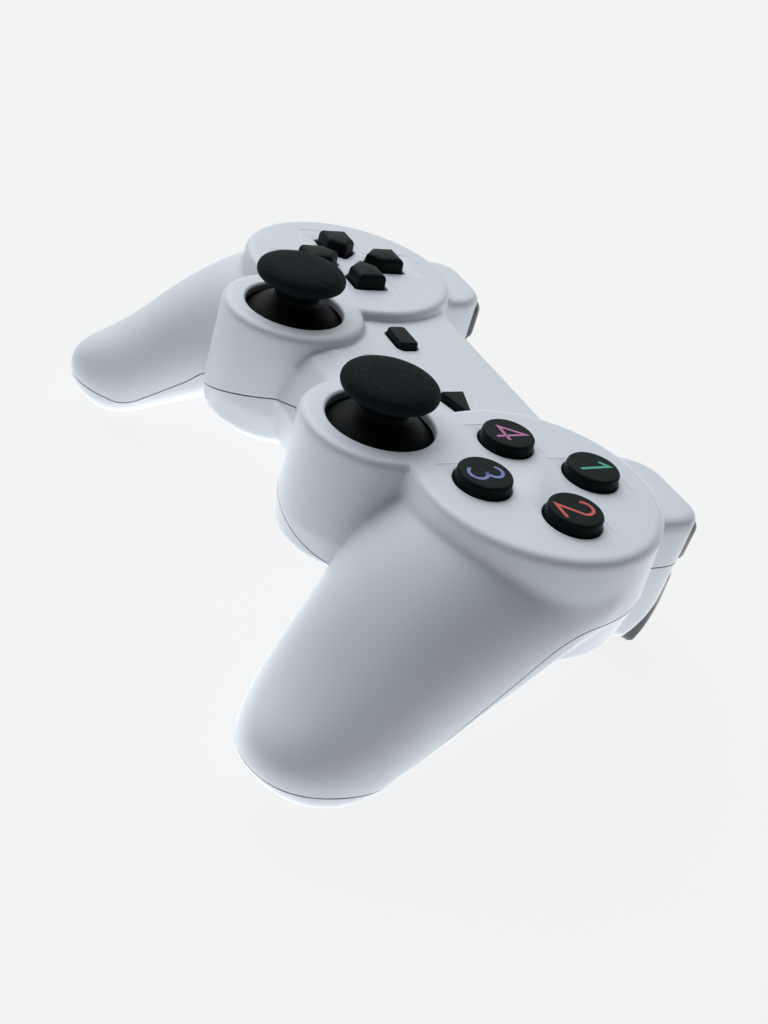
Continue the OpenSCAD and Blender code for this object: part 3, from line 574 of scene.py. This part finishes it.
def mouldedFinish(name, colour, drift, worn, rough, texture="grain", scale=2400, depth=0.02, wear=0.4,
        dust=0.1, metal=0.0, coat=0.0, shine=0.5):
    material = bpy.data.materials.new(name)
    material.use_nodes = True
    tree = material.node_tree
    shader = tree.nodes["Principled BSDF"]
    skin = useEffect(tree, texture, Scale=scale)
    edge = useEffect(tree, "wear", Amount=wear)
    dusty = useEffect(tree, "dust", Amount=dust)
    base = mixColour(tree, skin["Tone"], colour, drift)
    base = mixColour(tree, edge["Mask"], base, worn)
    base = mixColour(tree, dusty["Mask"], base, (0.55, 0.56, 0.57))
    tree.links.new(base, shader.inputs["Base Color"])
    tone = [("Value", skin["Tone"]), ("To Min", rough - 0.05), ("To Max", rough + 0.06)]
    gloss = put(tree, "ShaderNodeMapRange", tone).outputs[0]
    polish = calc(tree, "MULTIPLY_ADD", edge["Mask"], -0.15, gloss, clamp=True)
    tree.links.new(polish, shader.inputs["Roughness"])
    relief = [("Height", skin["Height"]), ("Strength", 1.0), ("Distance", depth * 0.001)]
    bump = put(tree, "ShaderNodeBump", relief)
    tree.links.new(bump.outputs["Normal"], shader.inputs["Normal"])
    shader.inputs["Metallic"].default_value = metal
    shader.inputs["Coat Weight"].default_value = coat
    shader.inputs["Specular IOR Level"].default_value = shine
    return material


finishSettings = {
    "shellWhite": dict(colour=(0.74, 0.79, 0.845), drift=(0.70, 0.755, 0.815), worn=(0.80, 0.84, 0.88),
        rough=0.40, scale=3000, depth=0.012, wear=0.25, dust=0.03),
    "keyBlack": dict(colour=(0.003, 0.0078, 0.008), drift=(0.004, 0.0098, 0.010), worn=(0.014, 0.021, 0.022),
        rough=0.46, scale=4200, depth=0.006, wear=0.5, dust=0.015, shine=0.06),
    "thumbRubber": dict(colour=(0.005, 0.0105, 0.011), drift=(0.0065, 0.013, 0.0135),
        worn=(0.013, 0.021, 0.022), rough=0.72, texture="pebble", scale=2100, depth=0.12, dust=0.03,
        shine=0.05),
    "stickBlack": dict(colour=(0.0025, 0.0058, 0.006), drift=(0.0035, 0.0076, 0.008),
        worn=(0.009, 0.015, 0.016), rough=0.48, scale=3600, depth=0.006, dust=0.02, shine=0.06),
    "shoulderGrey": dict(colour=(0.036, 0.047, 0.050), drift=(0.045, 0.058, 0.062), worn=(0.08, 0.098, 0.104),
        rough=0.36, scale=3400, depth=0.010, wear=0.6, dust=0.04),
    "innerPlastic": dict(colour=(0.022, 0.023, 0.025), drift=(0.030, 0.031, 0.033), worn=(0.06, 0.06, 0.06),
        rough=0.5),
    "matRubber": dict(colour=(0.12, 0.123, 0.126), drift=(0.15, 0.153, 0.156), worn=(0.2, 0.2, 0.2),
        rough=0.65, scale=1500),
    "filmAmber": dict(colour=(0.42, 0.20, 0.035), drift=(0.50, 0.26, 0.05), worn=(0.6, 0.4, 0.1),
        rough=0.2, coat=0.5),
    "boardGreen": dict(colour=(0.010, 0.075, 0.028), drift=(0.014, 0.10, 0.038), worn=(0.3, 0.28, 0.1),
        rough=0.3, scale=900, depth=0.03, coat=0.4),
    "cellWrap": dict(colour=(0.50, 0.53, 0.58), drift=(0.56, 0.59, 0.63), worn=(0.7, 0.72, 0.75),
        rough=0.3, scale=600),
    "platedSteel": dict(colour=(0.55, 0.56, 0.58), drift=(0.48, 0.49, 0.51), worn=(0.75, 0.76, 0.77),
        rough=0.28, scale=5200, depth=0.006, metal=1.0),
    "sinteredWeight": dict(colour=(0.40, 0.33, 0.22), drift=(0.34, 0.28, 0.19), worn=(0.6, 0.52, 0.38),
        rough=0.42, scale=2600, depth=0.03, metal=1.0),
    "contactGold": dict(colour=(0.83, 0.60, 0.26), drift=(0.78, 0.55, 0.22), worn=(0.9, 0.7, 0.36),
        rough=0.25, scale=5200, depth=0.004, metal=1.0),
    "lightGuide": dict(colour=(0.28, 0.018, 0.015), drift=(0.34, 0.03, 0.025), worn=(0.5, 0.08, 0.06),
        rough=0.16, scale=800, depth=0.004, coat=0.6),
}
inkTones = {
    "inkRose": ((0.52, 0.16, 0.36), (0.46, 0.13, 0.31), (0.4, 0.12, 0.28)),
    "inkGreen": ((0.035, 0.42, 0.30), (0.03, 0.36, 0.26), (0.03, 0.3, 0.22)),
    "inkRed": ((0.62, 0.075, 0.055), (0.55, 0.06, 0.045), (0.45, 0.05, 0.04)),
    "inkBlue": ((0.15, 0.22, 0.55), (0.12, 0.18, 0.47), (0.1, 0.15, 0.4)),
}
finishes = {name: mouldedFinish(name, **values) for name, values in finishSettings.items()}
for name, tones in inkTones.items():
    finishes[name] = mouldedFinish(name, *tones, rough=0.4, dust=0)
print("finishes ready:", len(finishes))


# carried-over solids take the finish of their material slot
slotFinish = {
    "shell": "shellWhite", "key_black": "keyBlack", "stick_rubber": "thumbRubber",
    "shoulder_grey": "shoulderGrey", "inner_plastic": "innerPlastic", "mat_rubber": "matRubber",
    "film": "filmAmber", "board": "boardGreen", "battery": "cellWrap", "metal": "platedSteel",
    "weight": "sinteredWeight", "light": "lightGuide",
}
for part in frame["record"]["subparts"]:
    node = frame["nodes"][part["node"]]
    if not node.material_slots:
        node.data.materials.append(None)
    for place in node.material_slots:
        place.material = finishes[slotFinish[part["material_slot"]]]


# keys, their holes and the openings of the shells

keys = {
    "faceRing": 12.7, "faceR": 5.6, "faceUp": 2.3, "faceGap": 0.3, "faceEdge": 0.55, "faceDraft": 0.12,
    "faceSkirt": -1.2, "faceFlange": (1.3, -2.6, -3.7), "faceFoot": (3.4, -4.25),
    "padUp": 3.3, "padHalf": 3.9, "padApex": 3.4, "padWaist": 6.9, "padEnd": 13.2, "padGap": 0.5,
    "padEdge": 1.5, "padCorner": 1.0, "padHoleCorner": 0.9, "padFoot": -2.75,
    "rocker": [(7, -2.7), (7.8, -2.7), (12.2, -3.15), (13.5, -3.6), (13.5, -4.6), (13.3, -4.8), (7, -4.8)],
    "smallUp": 1.6, "smallGap": 0.3, "smallEdge": 0.55, "smallCorner": 0.5, "smallHoleCorner": 0.6,
    "smallLip": 0.25, "smallFoot": -5.85,
    "homeY": -13, "homeR": 4.6, "homeUp": 0.7, "homeFlange": (1.1, -4.7, -5.4), "homeFoot": (2.6, -5.85),
    "crossHalf": 6.5, "crossReach": 19.4, "crossUp": -0.06, "lipRound": 0.35, "lipLift": 0.02,
    "holeLow": -6, "deckHoleDeep": 5, "cutOver": 2,
}


def padOutline(grow):
    k = keys
    half, waist, end = k["padHalf"] + grow, k["padWaist"] - 0.4 * grow, k["padEnd"] + grow
    return [(0, k["padApex"] - 1.4 * grow), (half, waist), (half, end), (-half, end), (-half, waist)]


def startOutline(grow):
    return [(12.4 - grow, -4.2 - grow), (13.2, -4.4 - 1.2 * grow), (21.6 + 2 * grow, -1.9 - grow / 2),
        (21.6 + 2 * grow, -0.9 + grow / 2), (13.2, 1.6 + 1.2 * grow), (12.4 - grow, 1.4 + grow)]


def selectOutline(grow):
    return [(-15.8 - grow, -3.2), (-15, -4 - grow), (-8, -4 - grow), (-7.2 + grow, -3.2),
        (-7.2 + grow, 0.2), (-8, 1 + grow), (-15, 1 + grow), (-15.8 - grow, 0.2)]


def holeLip(top, edge):  # rounded lip of a hole: how far out, and the height
    low = top - edge + keys["lipLift"]
    return [(edge * (1 - math.cos(a)), low + edge * math.sin(a)) for a in quarterTurn(6)]


def roundHole(radius, top, edge, low):
    over = top + keys["cutOver"]
    wall = [(radius + out, height) for out, height in holeLip(top, edge)]
    return turned([(0, low), (radius, low)] + wall + [(radius + edge, over), (0, over)])


def keyHole(outline, top, edge, corner, low):
    layers = [(0.0, low)] + holeLip(top, edge) + [(edge, top + keys["cutOver"])]
    rings = [(roundOutline(insetOutline(outline, -out), corner + out), height) for out, height in layers]
    points, faces = ringWalls(rings)
    n = len(rings[0][0])
    faces += [tuple(range(n - 1, -1, -1)), tuple(range(len(points) - n, len(points)))]
    return points, faces


def crossPlate(middle):  # shallow plus-shaped field around a group of keys
    w, r = keys["crossHalf"], keys["crossReach"]
    full = []
    for i in range(4):
        a = math.pi / 2 * i
        for x, y in ((w, w), (w, r), (-w, r)):
            full.append((x * math.cos(a) - y * math.sin(a) + middle, x * math.sin(a) + y * math.cos(a)))
    return prism(full, keys["crossUp"], 1.0)


def allHoles():
    k, h = keys, housing
    deckLow = h["deck"] - k["deckHoleDeep"]
    holes = []
    for i in range(4):
        a = math.pi / 2 * i
        x, y = h["podX"] + k["faceRing"] * math.cos(a), k["faceRing"] * math.sin(a)
        hole = roundHole(k["faceR"] + k["faceGap"], k["crossUp"], k["lipRound"], k["holeLow"])
        holes.append(shifted(hole, x, y))
        hole = keyHole(padOutline(k["padGap"]), k["crossUp"], k["lipRound"], k["padHoleCorner"], k["holeLow"])
        holes.append(shifted(shifted(hole, spin=a), -h["podX"]))
    for s in sides.values():
        hole = roundHole(stick["well"], 0, stick["wellRound"], -h["wall"] - 1)
        holes.append(shifted(hole, s * stick["x"], stick["y"]))
    for outline in (startOutline, selectOutline):
        holes.append(keyHole(outline(k["smallGap"]), h["deck"], k["smallLip"], k["smallHoleCorner"], deckLow))
    hole = roundHole(k["homeR"] + k["smallGap"], h["deck"], k["smallLip"], deckLow)
    holes.append(shifted(hole, 0, k["homeY"]))
    return joined(holes)


windows = {
    "inner": 36.2, "outer": 57.3, "bumperLow": -15.4, "bumperHigh": -6.6, "bumperBack": 27.5, "gap": 0.3,
    "hinge": (27.5, -20.5), "hingeBack": 0.6, "hingeOver": 2.8, "past": 44, "deep": -48,
    "port": (8.6, 4.6, -17.3), "backWall": (3.2, 3), "lights": (-15, -9, 9, 15), "light": (2.4, -9.8, -8.2),
}
screws = {
    "head": 2.4, "deep": 20,
    "places": ((-27, 13, -18.5), (27, 13, -18.5), (0, -22.3, -16), (-63.6, -43, -44.7), (63.6, -43, -44.7)),
}


def allWindows():
    w = windows
    cuts = []
    for s in sides.values():
        startX, endX = sorted((s * w["inner"], s * w["outer"]))
        cuts.append(blockShape((startX, w["bumperBack"], w["bumperLow"] - w["gap"]),
            (endX, w["past"], w["bumperHigh"] + w["gap"])))
        cuts.append(blockShape((startX, w["hinge"][0] - w["hingeBack"], w["deep"]),
            (endX, w["past"], w["hinge"][1] + w["hingeOver"])))
    start, end = housing["deckBack"] - w["backWall"][0], housing["deckBack"] + w["backWall"][1]
    wide, tall, low = w["port"]
    cuts.append(blockShape((-wide / 2, start, low), (wide / 2, end, low + tall)))
    half, low, high = w["light"]
    cuts += [blockShape((x - half, start, low), (x + half, end, high)) for x in w["lights"]]
    r, deep = screws["head"], screws["deep"]
    for x, y, seat in screws["places"]:
        cuts.append(shifted(turned([(0, -deep), (r, -deep), (r, 0), (0, 0)], 48), x, y, seat))
    return joined(cuts)


def buildShells():
    h = housing
    low, high = h["boxLow"], h["boxHigh"]
    whole = closedMesh("shells", skinOf(bodyDistance, h["spacing"], low, high, 3))
    print("outer skin:", len(whole.polygons), "faces")
    for s in sides.values():
        whole = carve(whole, crossPlate(s * h["podX"]))
    whole = carve(whole, skinOf(cavityDistance, h["innerSpacing"], low, high, 2))
    whole = carve(whole, allHoles())
    whole = carve(whole, allWindows())
    front = carve(whole.copy(), seamBlock(0), "INTERSECT")
    rear = carve(whole, seamBlock(h["gap"]))
    addPiece("frontShell", front, "housing", "shellWhite", stands=("front_shell",))
    addPiece("rearShell", rear, "housing", "shellWhite", stands=("rear_shell",))
    print("shells cut:", len(front.polygons), len(rear.polygons))


buildShells()


# round buttons with printed numbers

figure = {"tall": 7.0, "line": 0.7, "sunk": 0.03, "proud": 0.015}


def ribbon(points, width, height):  # flat printed line, mitred at its bends
    leftEdge, rightEdge = [], []
    p = [Vector(point) for point in points]
    for i, here in enumerate(p):
        a = here - p[i - 1] if i else p[1] - here
        b = p[i + 1] - here if i < len(p) - 1 else a
        a, b = a.normalized(), b.normalized()
        n = Vector((-a.y - b.y, a.x + b.x)).normalized()
        reach = width / 2 / max(n.dot(Vector((-a.y, a.x))), 0.4)
        leftEdge.append(tuple(here + n * reach))
        rightEdge.append(tuple(here - n * reach))
    return prism(rightEdge + leftEdge[::-1], height - figure["sunk"], height + figure["proud"])


numberStrokes = {  # single-line figures, one unit tall
    "1": [[(-0.20, 0.28), (0.06, 0.5), (0.06, -0.5)]],
    "2": [arcPoints(0, 0.22, 0.28, 170, -25) + [(-0.28, -0.5), (0.32, -0.5)]],
    "3": [arcPoints(0, 0.25, 0.25, 150, -90), arcPoints(0, -0.25, 0.27, 90, -150)],
    "4": [[(0.14, -0.5), (0.14, 0.5), (-0.34, -0.18), (0.36, -0.18)]],
}
faceButtons = {"right": (0, "2", "inkRed"), "top": (90, "1", "inkGreen"), "left": (180, "4", "inkRose"),
    "bottom": (270, "3", "inkBlue")}


def keyFoot(r, flange, foot):  # guide flange and foot of a round key, which stays off the mat at full travel
    wide, over, under = flange
    inner, low = foot
    return [(r, over), (r + wide, over), (r + wide, under), (inner, under), (inner, low), (0, low)]


def buildFaceButtons():
    k = keys
    r, top, e = k["faceR"], k["faceUp"], k["faceEdge"]
    shoulderX = r - k["faceDraft"] - e
    edge = [(shoulderX + e * math.sin(a), top - e + e * math.cos(a)) for a in quarterTurn(7)]
    profile = [(0, top), (r * 0.5, top), (r * 0.8, top)] + edge + [(r, k["faceSkirt"])]
    button = turned(profile + keyFoot(r, k["faceFlange"], k["faceFoot"]))
    for name, (angle, number, ink) in faceButtons.items():
        a = math.radians(angle)
        x, y = housing["podX"] + k["faceRing"] * math.cos(a), k["faceRing"] * math.sin(a)
        body = "face_button_" + name
        addPiece("faceButton." + name, closedMesh("faceButton", shifted(button, x, y)), body,
            "keyBlack", stands=(body,))
        strokes = []
        for line in numberStrokes[number]:
            points = [(px * figure["tall"], py * figure["tall"]) for px, py in line]
            strokes.append(ribbon(points, figure["line"], top))
        addPiece("figure." + name, closedMesh("figure", shifted(joined(strokes), x, y)), body,
            ink)
    print("face buttons ready")


buildFaceButtons()


# direction pad and small keys

def buildDirectionPad():
    k = keys
    key = keyBody(padOutline(0), k["padFoot"], k["padUp"], k["padEdge"], k["padCorner"],
        draft=0.15, crown=0.2)
    parts = [shifted(key, spin=math.pi / 2 * i) for i in range(4)] + [turned(k["rocker"], ring=True)]
    pad = shifted(joined(parts), -housing["podX"])
    addPiece("directionPad", closedMesh("directionPad", pad), "dpad", "keyBlack",
        stands=("dpad",))


def buildSmallKeys():
    k, deck = keys, housing["deck"]
    for name, outline in (("start_button", startOutline), ("select_button", selectOutline)):
        key = keyBody(outline(0), k["smallFoot"], deck + k["smallUp"], k["smallEdge"], k["smallCorner"],
            draft=0.2, crown=0.06)
        addPiece(name + ".key", closedMesh(name, key), name, "keyBlack", stands=(name,))
    r, top = k["homeR"], deck + k["homeUp"]
    crown = [(0, top), (r * 0.6, top - 0.06), (r - 0.5, top - 0.3), (r - 0.1, top - 0.75), (r, top - 1.4)]
    key = turned(curveThrough(crown, 5) + keyFoot(r, k["homeFlange"], k["homeFoot"]))
    addPiece("homeKey", closedMesh("homeKey", shifted(key, 0, k["homeY"])), "home_button",
        "keyBlack", stands=("home_button",))
    print("pad and small keys ready")


buildDirectionPad()
buildSmallKeys()


# thumbsticks: pebbled cap over a smooth neck and skirt

thumb = {
    "cap": 10.0, "top": 21.7, "dome": 3.0, "full": 2.8, "steps": 128,
    "under": [(10, 0), (9.7, -0.7), (8.8, -1.3), (7.2, -2.0), (5.9, -2.8)],
    "neck": [(5.75, -2.7), (5.3, -3.8), (5.12, -4.7)], "waist": (5.35, 13.35),
    "skirt": 14.1, "skirtWall": 1.2, "skirtTop": 66, "skirtLow": 23, "insideTop": 74,
}


def buildSticks():
    t = thumb
    rim, power = t["top"] - t["dome"], 2 / t["full"]
    crown = [(t["cap"] * math.sin(a) ** power, rim + t["dome"] * math.cos(a) ** power)
        for a in quarterTurn(32)[:-1]]
    under = curveThrough([(r, rim + z) for r, z in t["under"]], 6)
    cap = turned(crown + under + [(0, under[-1][1])], t["steps"])
    dome = arcPoints(0, 0, t["skirt"], t["skirtTop"], t["skirtLow"], 15)
    inside = arcPoints(0, 0, t["skirt"] - t["skirtWall"], t["skirtLow"], t["insideTop"], 13)
    neck = curveThrough([(r, rim + z) for r, z in t["neck"]] + [t["waist"], dome[0]], 5)
    skirt = turned([(0, neck[0][1])] + neck[:-1] + dome + inside + [(0, inside[-1][1])], t["steps"])
    for side, s in sides.items():
        spot = (s * stick["x"], stick["y"], stick["pivot"])
        body = side + "_stick"
        addPiece("thumbCap." + side, closedMesh("thumbCap", shifted(cap, *spot)), body,
            "thumbRubber", sharp=60, stands=(side + "_stick_cap",))
        addPiece("stickSkirt." + side, closedMesh("stickSkirt", shifted(skirt, *spot)), body,
            "stickBlack", sharp=50)
    print("thumbsticks ready")


buildSticks()


# bumpers and triggers

bumper = {
    "in": 36.5, "out": 57, "back": 30.3, "front": 38.2, "edge": 1.6,
    "low": windows["bumperLow"], "high": windows["bumperHigh"],
    "outRound": 4.2, "inRound": 8.9, "inShift": 7, "inTurn": 142,
    "flange": (32.6, 34.0), "flangeOver": 1.0, "flangeShort": 2.5,
}
trigger = {
    "in": 36.7, "out": 56.8, "hinge": windows["hinge"], "edge": 4.2, "boss": 2.7, "bore": 1.05, "root": 2.3,
    "paddle": [(8.4, 2.3), (9.5, 1.2), (9.95, -2.6), (10.15, -7), (9.95, -10.5), (9.3, -14), (8.2, -17),
        (7.3, -18.5), (6.4, -19.08), (5.45, -18.6), (4.75, -16.8), (4.5, -12.5), (4.3, -8), (3.9, -4.5),
        (2.7, -2.9)],
    "boxLow": (-5, -22), "boxHigh": (13, 5),
}
shoulderSkin = {"spacing": 0.45, "margin": 2, "settle": 3}


def bumperDistance(x, y, z):
    b = bumper
    plan = [(b["in"], b["back"]), (b["out"], b["back"])]
    plan += arcPoints(b["out"] - b["outRound"], b["front"] - b["outRound"], b["outRound"], 0, 90, 6)
    plan += arcPoints(b["in"] + b["inShift"], b["front"] - b["inRound"], b["inRound"], 90, b["inTurn"], 9)
    level = np.abs(z - (b["high"] + b["low"]) / 2) - (b["high"] - b["low"]) / 2
    return softCut(outlineDistance(plan, x, y), level, b["edge"])


def triggerDistance(x, y, z):
    t = trigger
    u, v = y - t["hinge"][0], z - t["hinge"][1]
    side = [(0, t["root"])] + curveThrough(t["paddle"], 3) + [(0, -t["root"])]
    width = np.abs(x - (t["in"] + t["out"]) / 2) - (t["out"] - t["in"]) / 2
    paddle = softCut(outlineDistance(side[::-1], u, v), width, t["edge"])
    return np.minimum(paddle, np.maximum(np.hypot(u, v) - t["boss"], width))


def buildShoulderKeys():
    b, t, m = bumper, trigger, shoulderSkin["margin"]
    spacing, settle = shoulderSkin["spacing"], shoulderSkin["settle"]
    low, high = (b["in"] - m, b["back"] - m, b["low"] - m), (b["out"] + m, b["front"] + m, b["high"] + m)
    bar = skinOf(bumperDistance, spacing, low, high, settle, twin=False)
    flange = blockShape((b["in"], b["flange"][0], b["low"] - b["flangeOver"]),
        (b["out"] - b["flangeShort"], b["flange"][1], b["high"] + b["flangeOver"]))
    bar = joined([bar, flange])
    low = (t["in"] - m, t["hinge"][0] + t["boxLow"][0], t["hinge"][1] + t["boxLow"][1])
    high = (t["out"] + m, t["hinge"][0] + t["boxHigh"][0], t["hinge"][1] + t["boxHigh"][1])
    paddle = skinOf(triggerDistance, spacing, low, high, settle, twin=False)
    bore = alongX(arcPoints(*t["hinge"], t["bore"], 0, 345, 23), t["in"] - 1, t["out"] + 1)
    for side, s in sides.items():
        for name, shape, hole in (("bumper", bar, None), ("trigger", paddle, bore)):
            shape, hole = (mirrored(shape), hole and mirrored(hole)) if s < 0 else (shape, hole)
            mesh = closedMesh(name, shape)
            body = side + "_" + name
            addPiece(name + "." + side, carve(mesh, hole) if hole else mesh, body,
                "shoulderGrey", sharp=50, stands=(body,))
    print("bumpers and triggers ready")


buildShoulderKeys()


# screws and charging socket

screw = {
    "head": 2.0, "tall": 1.6, "rim": 0.5, "shaft": 0.85, "reach": 6.5,
    "slot": 0.55, "slotLong": 2.4, "slotDeep": 0.8,
}
socket = {
    "half": 3.9, "low": -17, "tall": 4, "back": 8, "front": 17.1, "wall": 0.4,
    "corner": 1.3, "innerCorner": 1.0, "floor": 1.5, "tongue": 2.2, "tongueHalf": 0.4, "tongueRun": (1, 1.6),
    "contacts": 5, "contactSpan": 1.6, "contactHalf": 0.22, "contactRun": (3, 1.9), "contactUp": (0.36, 0.44),
}


def buildScrews():
    k = screw
    e = k["rim"]
    rim = [(k["head"] - e + e * math.sin(a), e - k["tall"] - e * math.cos(a)) for a in quarterTurn(5)]
    profile = [(0, -k["tall"])] + rim + [(k["head"], 0), (k["shaft"], 0), (k["shaft"], k["reach"])]
    head = turned(profile + [(0, k["reach"])], 48)
    heads, slots = [], []
    for x, y, seat in screws["places"]:
        heads.append(shifted(head, x, y, seat))
        for wide, long in ((k["slot"], k["slotLong"]), (k["slotLong"], k["slot"])):
            slots.append(blockShape((x - wide / 2, y - long / 2, seat - k["tall"] - 1),
                (x + wide / 2, y + long / 2, seat - k["tall"] + k["slotDeep"])))
    mesh = carve(closedMesh("screws", joined(heads)), joined(slots[::2]))
    mesh = carve(mesh, joined(slots[1::2]))
    addPiece("caseScrews", mesh, "housing", "platedSteel", stands=("case_screws",))


def buildSocket():
    k = socket
    low, high, back, front = k["low"], k["low"] + k["tall"], k["back"], k["front"]
    box = [(-k["half"], low), (k["half"], low), (k["half"], high), (-k["half"], high)]
    outer = roundOutline(box, k["corner"], 8)
    inner = roundOutline(insetOutline(box, k["wall"]), k["innerCorner"], 8)
    hollow = alongY(inner, back + k["floor"], front + 2)
    shell = carve(closedMesh("socket", alongY(outer, back, front)), hollow)
    addPiece("socketShell", shell, "housing", "platedSteel", stands=("charge_socket",))
    middle, half = (low + high) / 2, k["tongue"]
    start, end = back + k["tongueRun"][0], front - k["tongueRun"][1]
    tongue = keyBody([(-half, start), (half, start), (half, end), (-half, end)], middle - k["tongueHalf"],
        middle + k["tongueHalf"], 0.2, 0.4)
    addPiece("socketTongue", closedMesh("socketTongue", tongue), "housing", "innerPlastic")
    half, (lower, upper) = k["contactHalf"], k["contactUp"]
    start, end = back + k["contactRun"][0], front - k["contactRun"][1]
    strips = [blockShape((x - half, start, middle + lower), (x + half, end, middle + upper))
        for x in np.linspace(-k["contactSpan"], k["contactSpan"], k["contacts"])]
    addPiece("socketContacts", closedMesh("socketContacts", joined(strips)), "housing",
        "contactGold")
    print("screws and socket ready")


buildScrews()
buildSocket()


# camera at the photograph's angle, given on the level deck

view = {
    "place": (188.57, -130.75, 108.91), "azimuth": 55.35, "elevation": 33.42, "roll": 16.83,
    "lens": 40.21, "sensor": 36,
}


def placeCamera():
    a, e, r = (math.radians(view[k]) for k in ("azimuth", "elevation", "roll"))
    back = Vector((math.sin(a) * math.cos(e), -math.cos(a) * math.cos(e), math.sin(e)))
    level = Vector((math.cos(a), math.sin(a), 0))
    rise = back.cross(level)
    across = level * math.cos(r) + rise * math.sin(r)
    above = -level * math.sin(r) + rise * math.cos(r)
    turn = tip @ Matrix((across, above, back)).transposed()
    camera = bpy.data.objects.new("camera", bpy.data.cameras.new("camera"))
    camera.data.lens = view["lens"]
    camera.data.sensor_width = view["sensor"]
    camera.matrix_world = Matrix.Translation(toRow @ Vector(view["place"])) @ turn.to_4x4()
    bpy.context.scene.collection.objects.link(camera)
    bpy.context.scene.camera = camera


placeCamera()


# pale floor, one large soft key light from behind, and a light table under the object

studio = {
    "floor": 8.0, "floorColour": (0.62, 0.63, 0.65, 1), "floorRough": 0.8, "floorGlow": 0.955,
    "glowShare": 0.88, "white": 0.905, "backdropTop": 0.22, "keyColour": (0.95, 0.98, 1.0, 1),
    "keyTurn": 174, "keyRise": 51, "keyFocus": 6, "keyStrength": 3.75, "fill": 0.03, "lampHeight": 0.0004,
    "lamps": {
        "tableNear": ((0.035, -0.035), "DISK", (0.25, 0.25), 0.165),
        "tableFar": ((0.15, 0.34), "RECTANGLE", (0.7, 0.4), 1.05),
    },
}


def seenDirectly(tree):  # camera rays, and mirror and see-through rays
    path = put(tree, "ShaderNodeLightPath").outputs
    return path["Is Camera Ray"], calc(tree, "MAXIMUM", path["Is Glossy Ray"], path["Is Transmission Ray"])


def grey(level):
    return (level, level, level, 1)


def buildFloor():
    k = studio
    half = k["floor"] / 2
    square = [(-half, -half, 0), (half, -half, 0), (half, half, 0), (-half, half, 0)]
    mesh = meshFrom("floor", square, [(0, 1, 2, 3)])
    floor = bpy.data.objects.new("floor", mesh)
    bpy.context.scene.collection.objects.link(floor)
    material = bpy.data.materials.new("paleFloor")
    material.use_nodes = True
    tree = material.node_tree
    shader = tree.nodes["Principled BSDF"]
    shader.inputs["Base Color"].default_value = k["floorColour"]
    shader.inputs["Roughness"].default_value = k["floorRough"]
    glow = put(tree, "ShaderNodeEmission", [("Color", grey(k["floorGlow"])), ("Strength", 1.0)])
    share = calc(tree, "MULTIPLY", calc(tree, "MAXIMUM", *seenDirectly(tree)), k["glowShare"])
    both = put(tree, "ShaderNodeMixShader", [(0, share), (1, shader.outputs[0]), (2, glow.outputs[0])])
    tree.links.new(both.outputs[0], tree.nodes["Material Output"].inputs["Surface"])
    mesh.materials.append(material)


def buildLight():
    k = studio
    world = bpy.data.worlds.new("studio")
    bpy.context.scene.world = world
    world.use_nodes = True
    tree = world.node_tree
    tree.nodes.clear()
    turn, rise = math.radians(k["keyTurn"]), math.radians(k["keyRise"])
    toKey = (math.cos(turn) * math.cos(rise), math.sin(turn) * math.cos(rise), math.sin(rise))
    place = put(tree, "ShaderNodeTexCoord").outputs["Generated"]
    facing = put(tree, "ShaderNodeVectorMath", [(0, place), (1, toKey)], operation="DOT_PRODUCT")
    lobe = calc(tree, "POWER", calc(tree, "MAXIMUM", facing.outputs["Value"], 0.0), k["keyFocus"])
    level = calc(tree, "MULTIPLY_ADD", lobe, k["keyStrength"], k["fill"])
    soft = put(tree, "ShaderNodeBackground", [("Color", k["keyColour"]), ("Strength", level)])
    white = put(tree, "ShaderNodeBackground", [("Color", grey(k["white"])), ("Strength", 1.0)])
    camera, mirror = seenDirectly(tree)
    height = put(tree, "ShaderNodeSeparateXYZ", [(0, place)]).outputs["Z"]
    low = calc(tree, "LESS_THAN", height, k["backdropTop"])
    seen = calc(tree, "MAXIMUM", camera, calc(tree, "MULTIPLY", mirror, low))
    both = put(tree, "ShaderNodeMixShader", [(0, seen), (1, soft.outputs[0]), (2, white.outputs[0])])
    put(tree, "ShaderNodeOutputWorld", [("Surface", both.outputs[0])])
    for name, (spot, shape, size, power) in k["lamps"].items():
        lamp = bpy.data.objects.new(name, bpy.data.lights.new(name, "AREA"))
        lamp.data.shape = shape
        lamp.data.size = size[0]
        if shape == "RECTANGLE":
            lamp.data.size_y = size[1]
        lamp.data.energy = power
        lamp.data.cycles.max_bounces = 0  # lights the object, no glow on the floor round it
        lamp.location = (*spot, k["lampHeight"])
        lamp.rotation_euler = (math.pi, 0, 0)
        lamp.visible_camera = False
        bpy.context.scene.collection.objects.link(lamp)


buildFloor()
buildLight()
bpy.context.scene.view_settings.view_transform = "Standard"
print("stage ready")
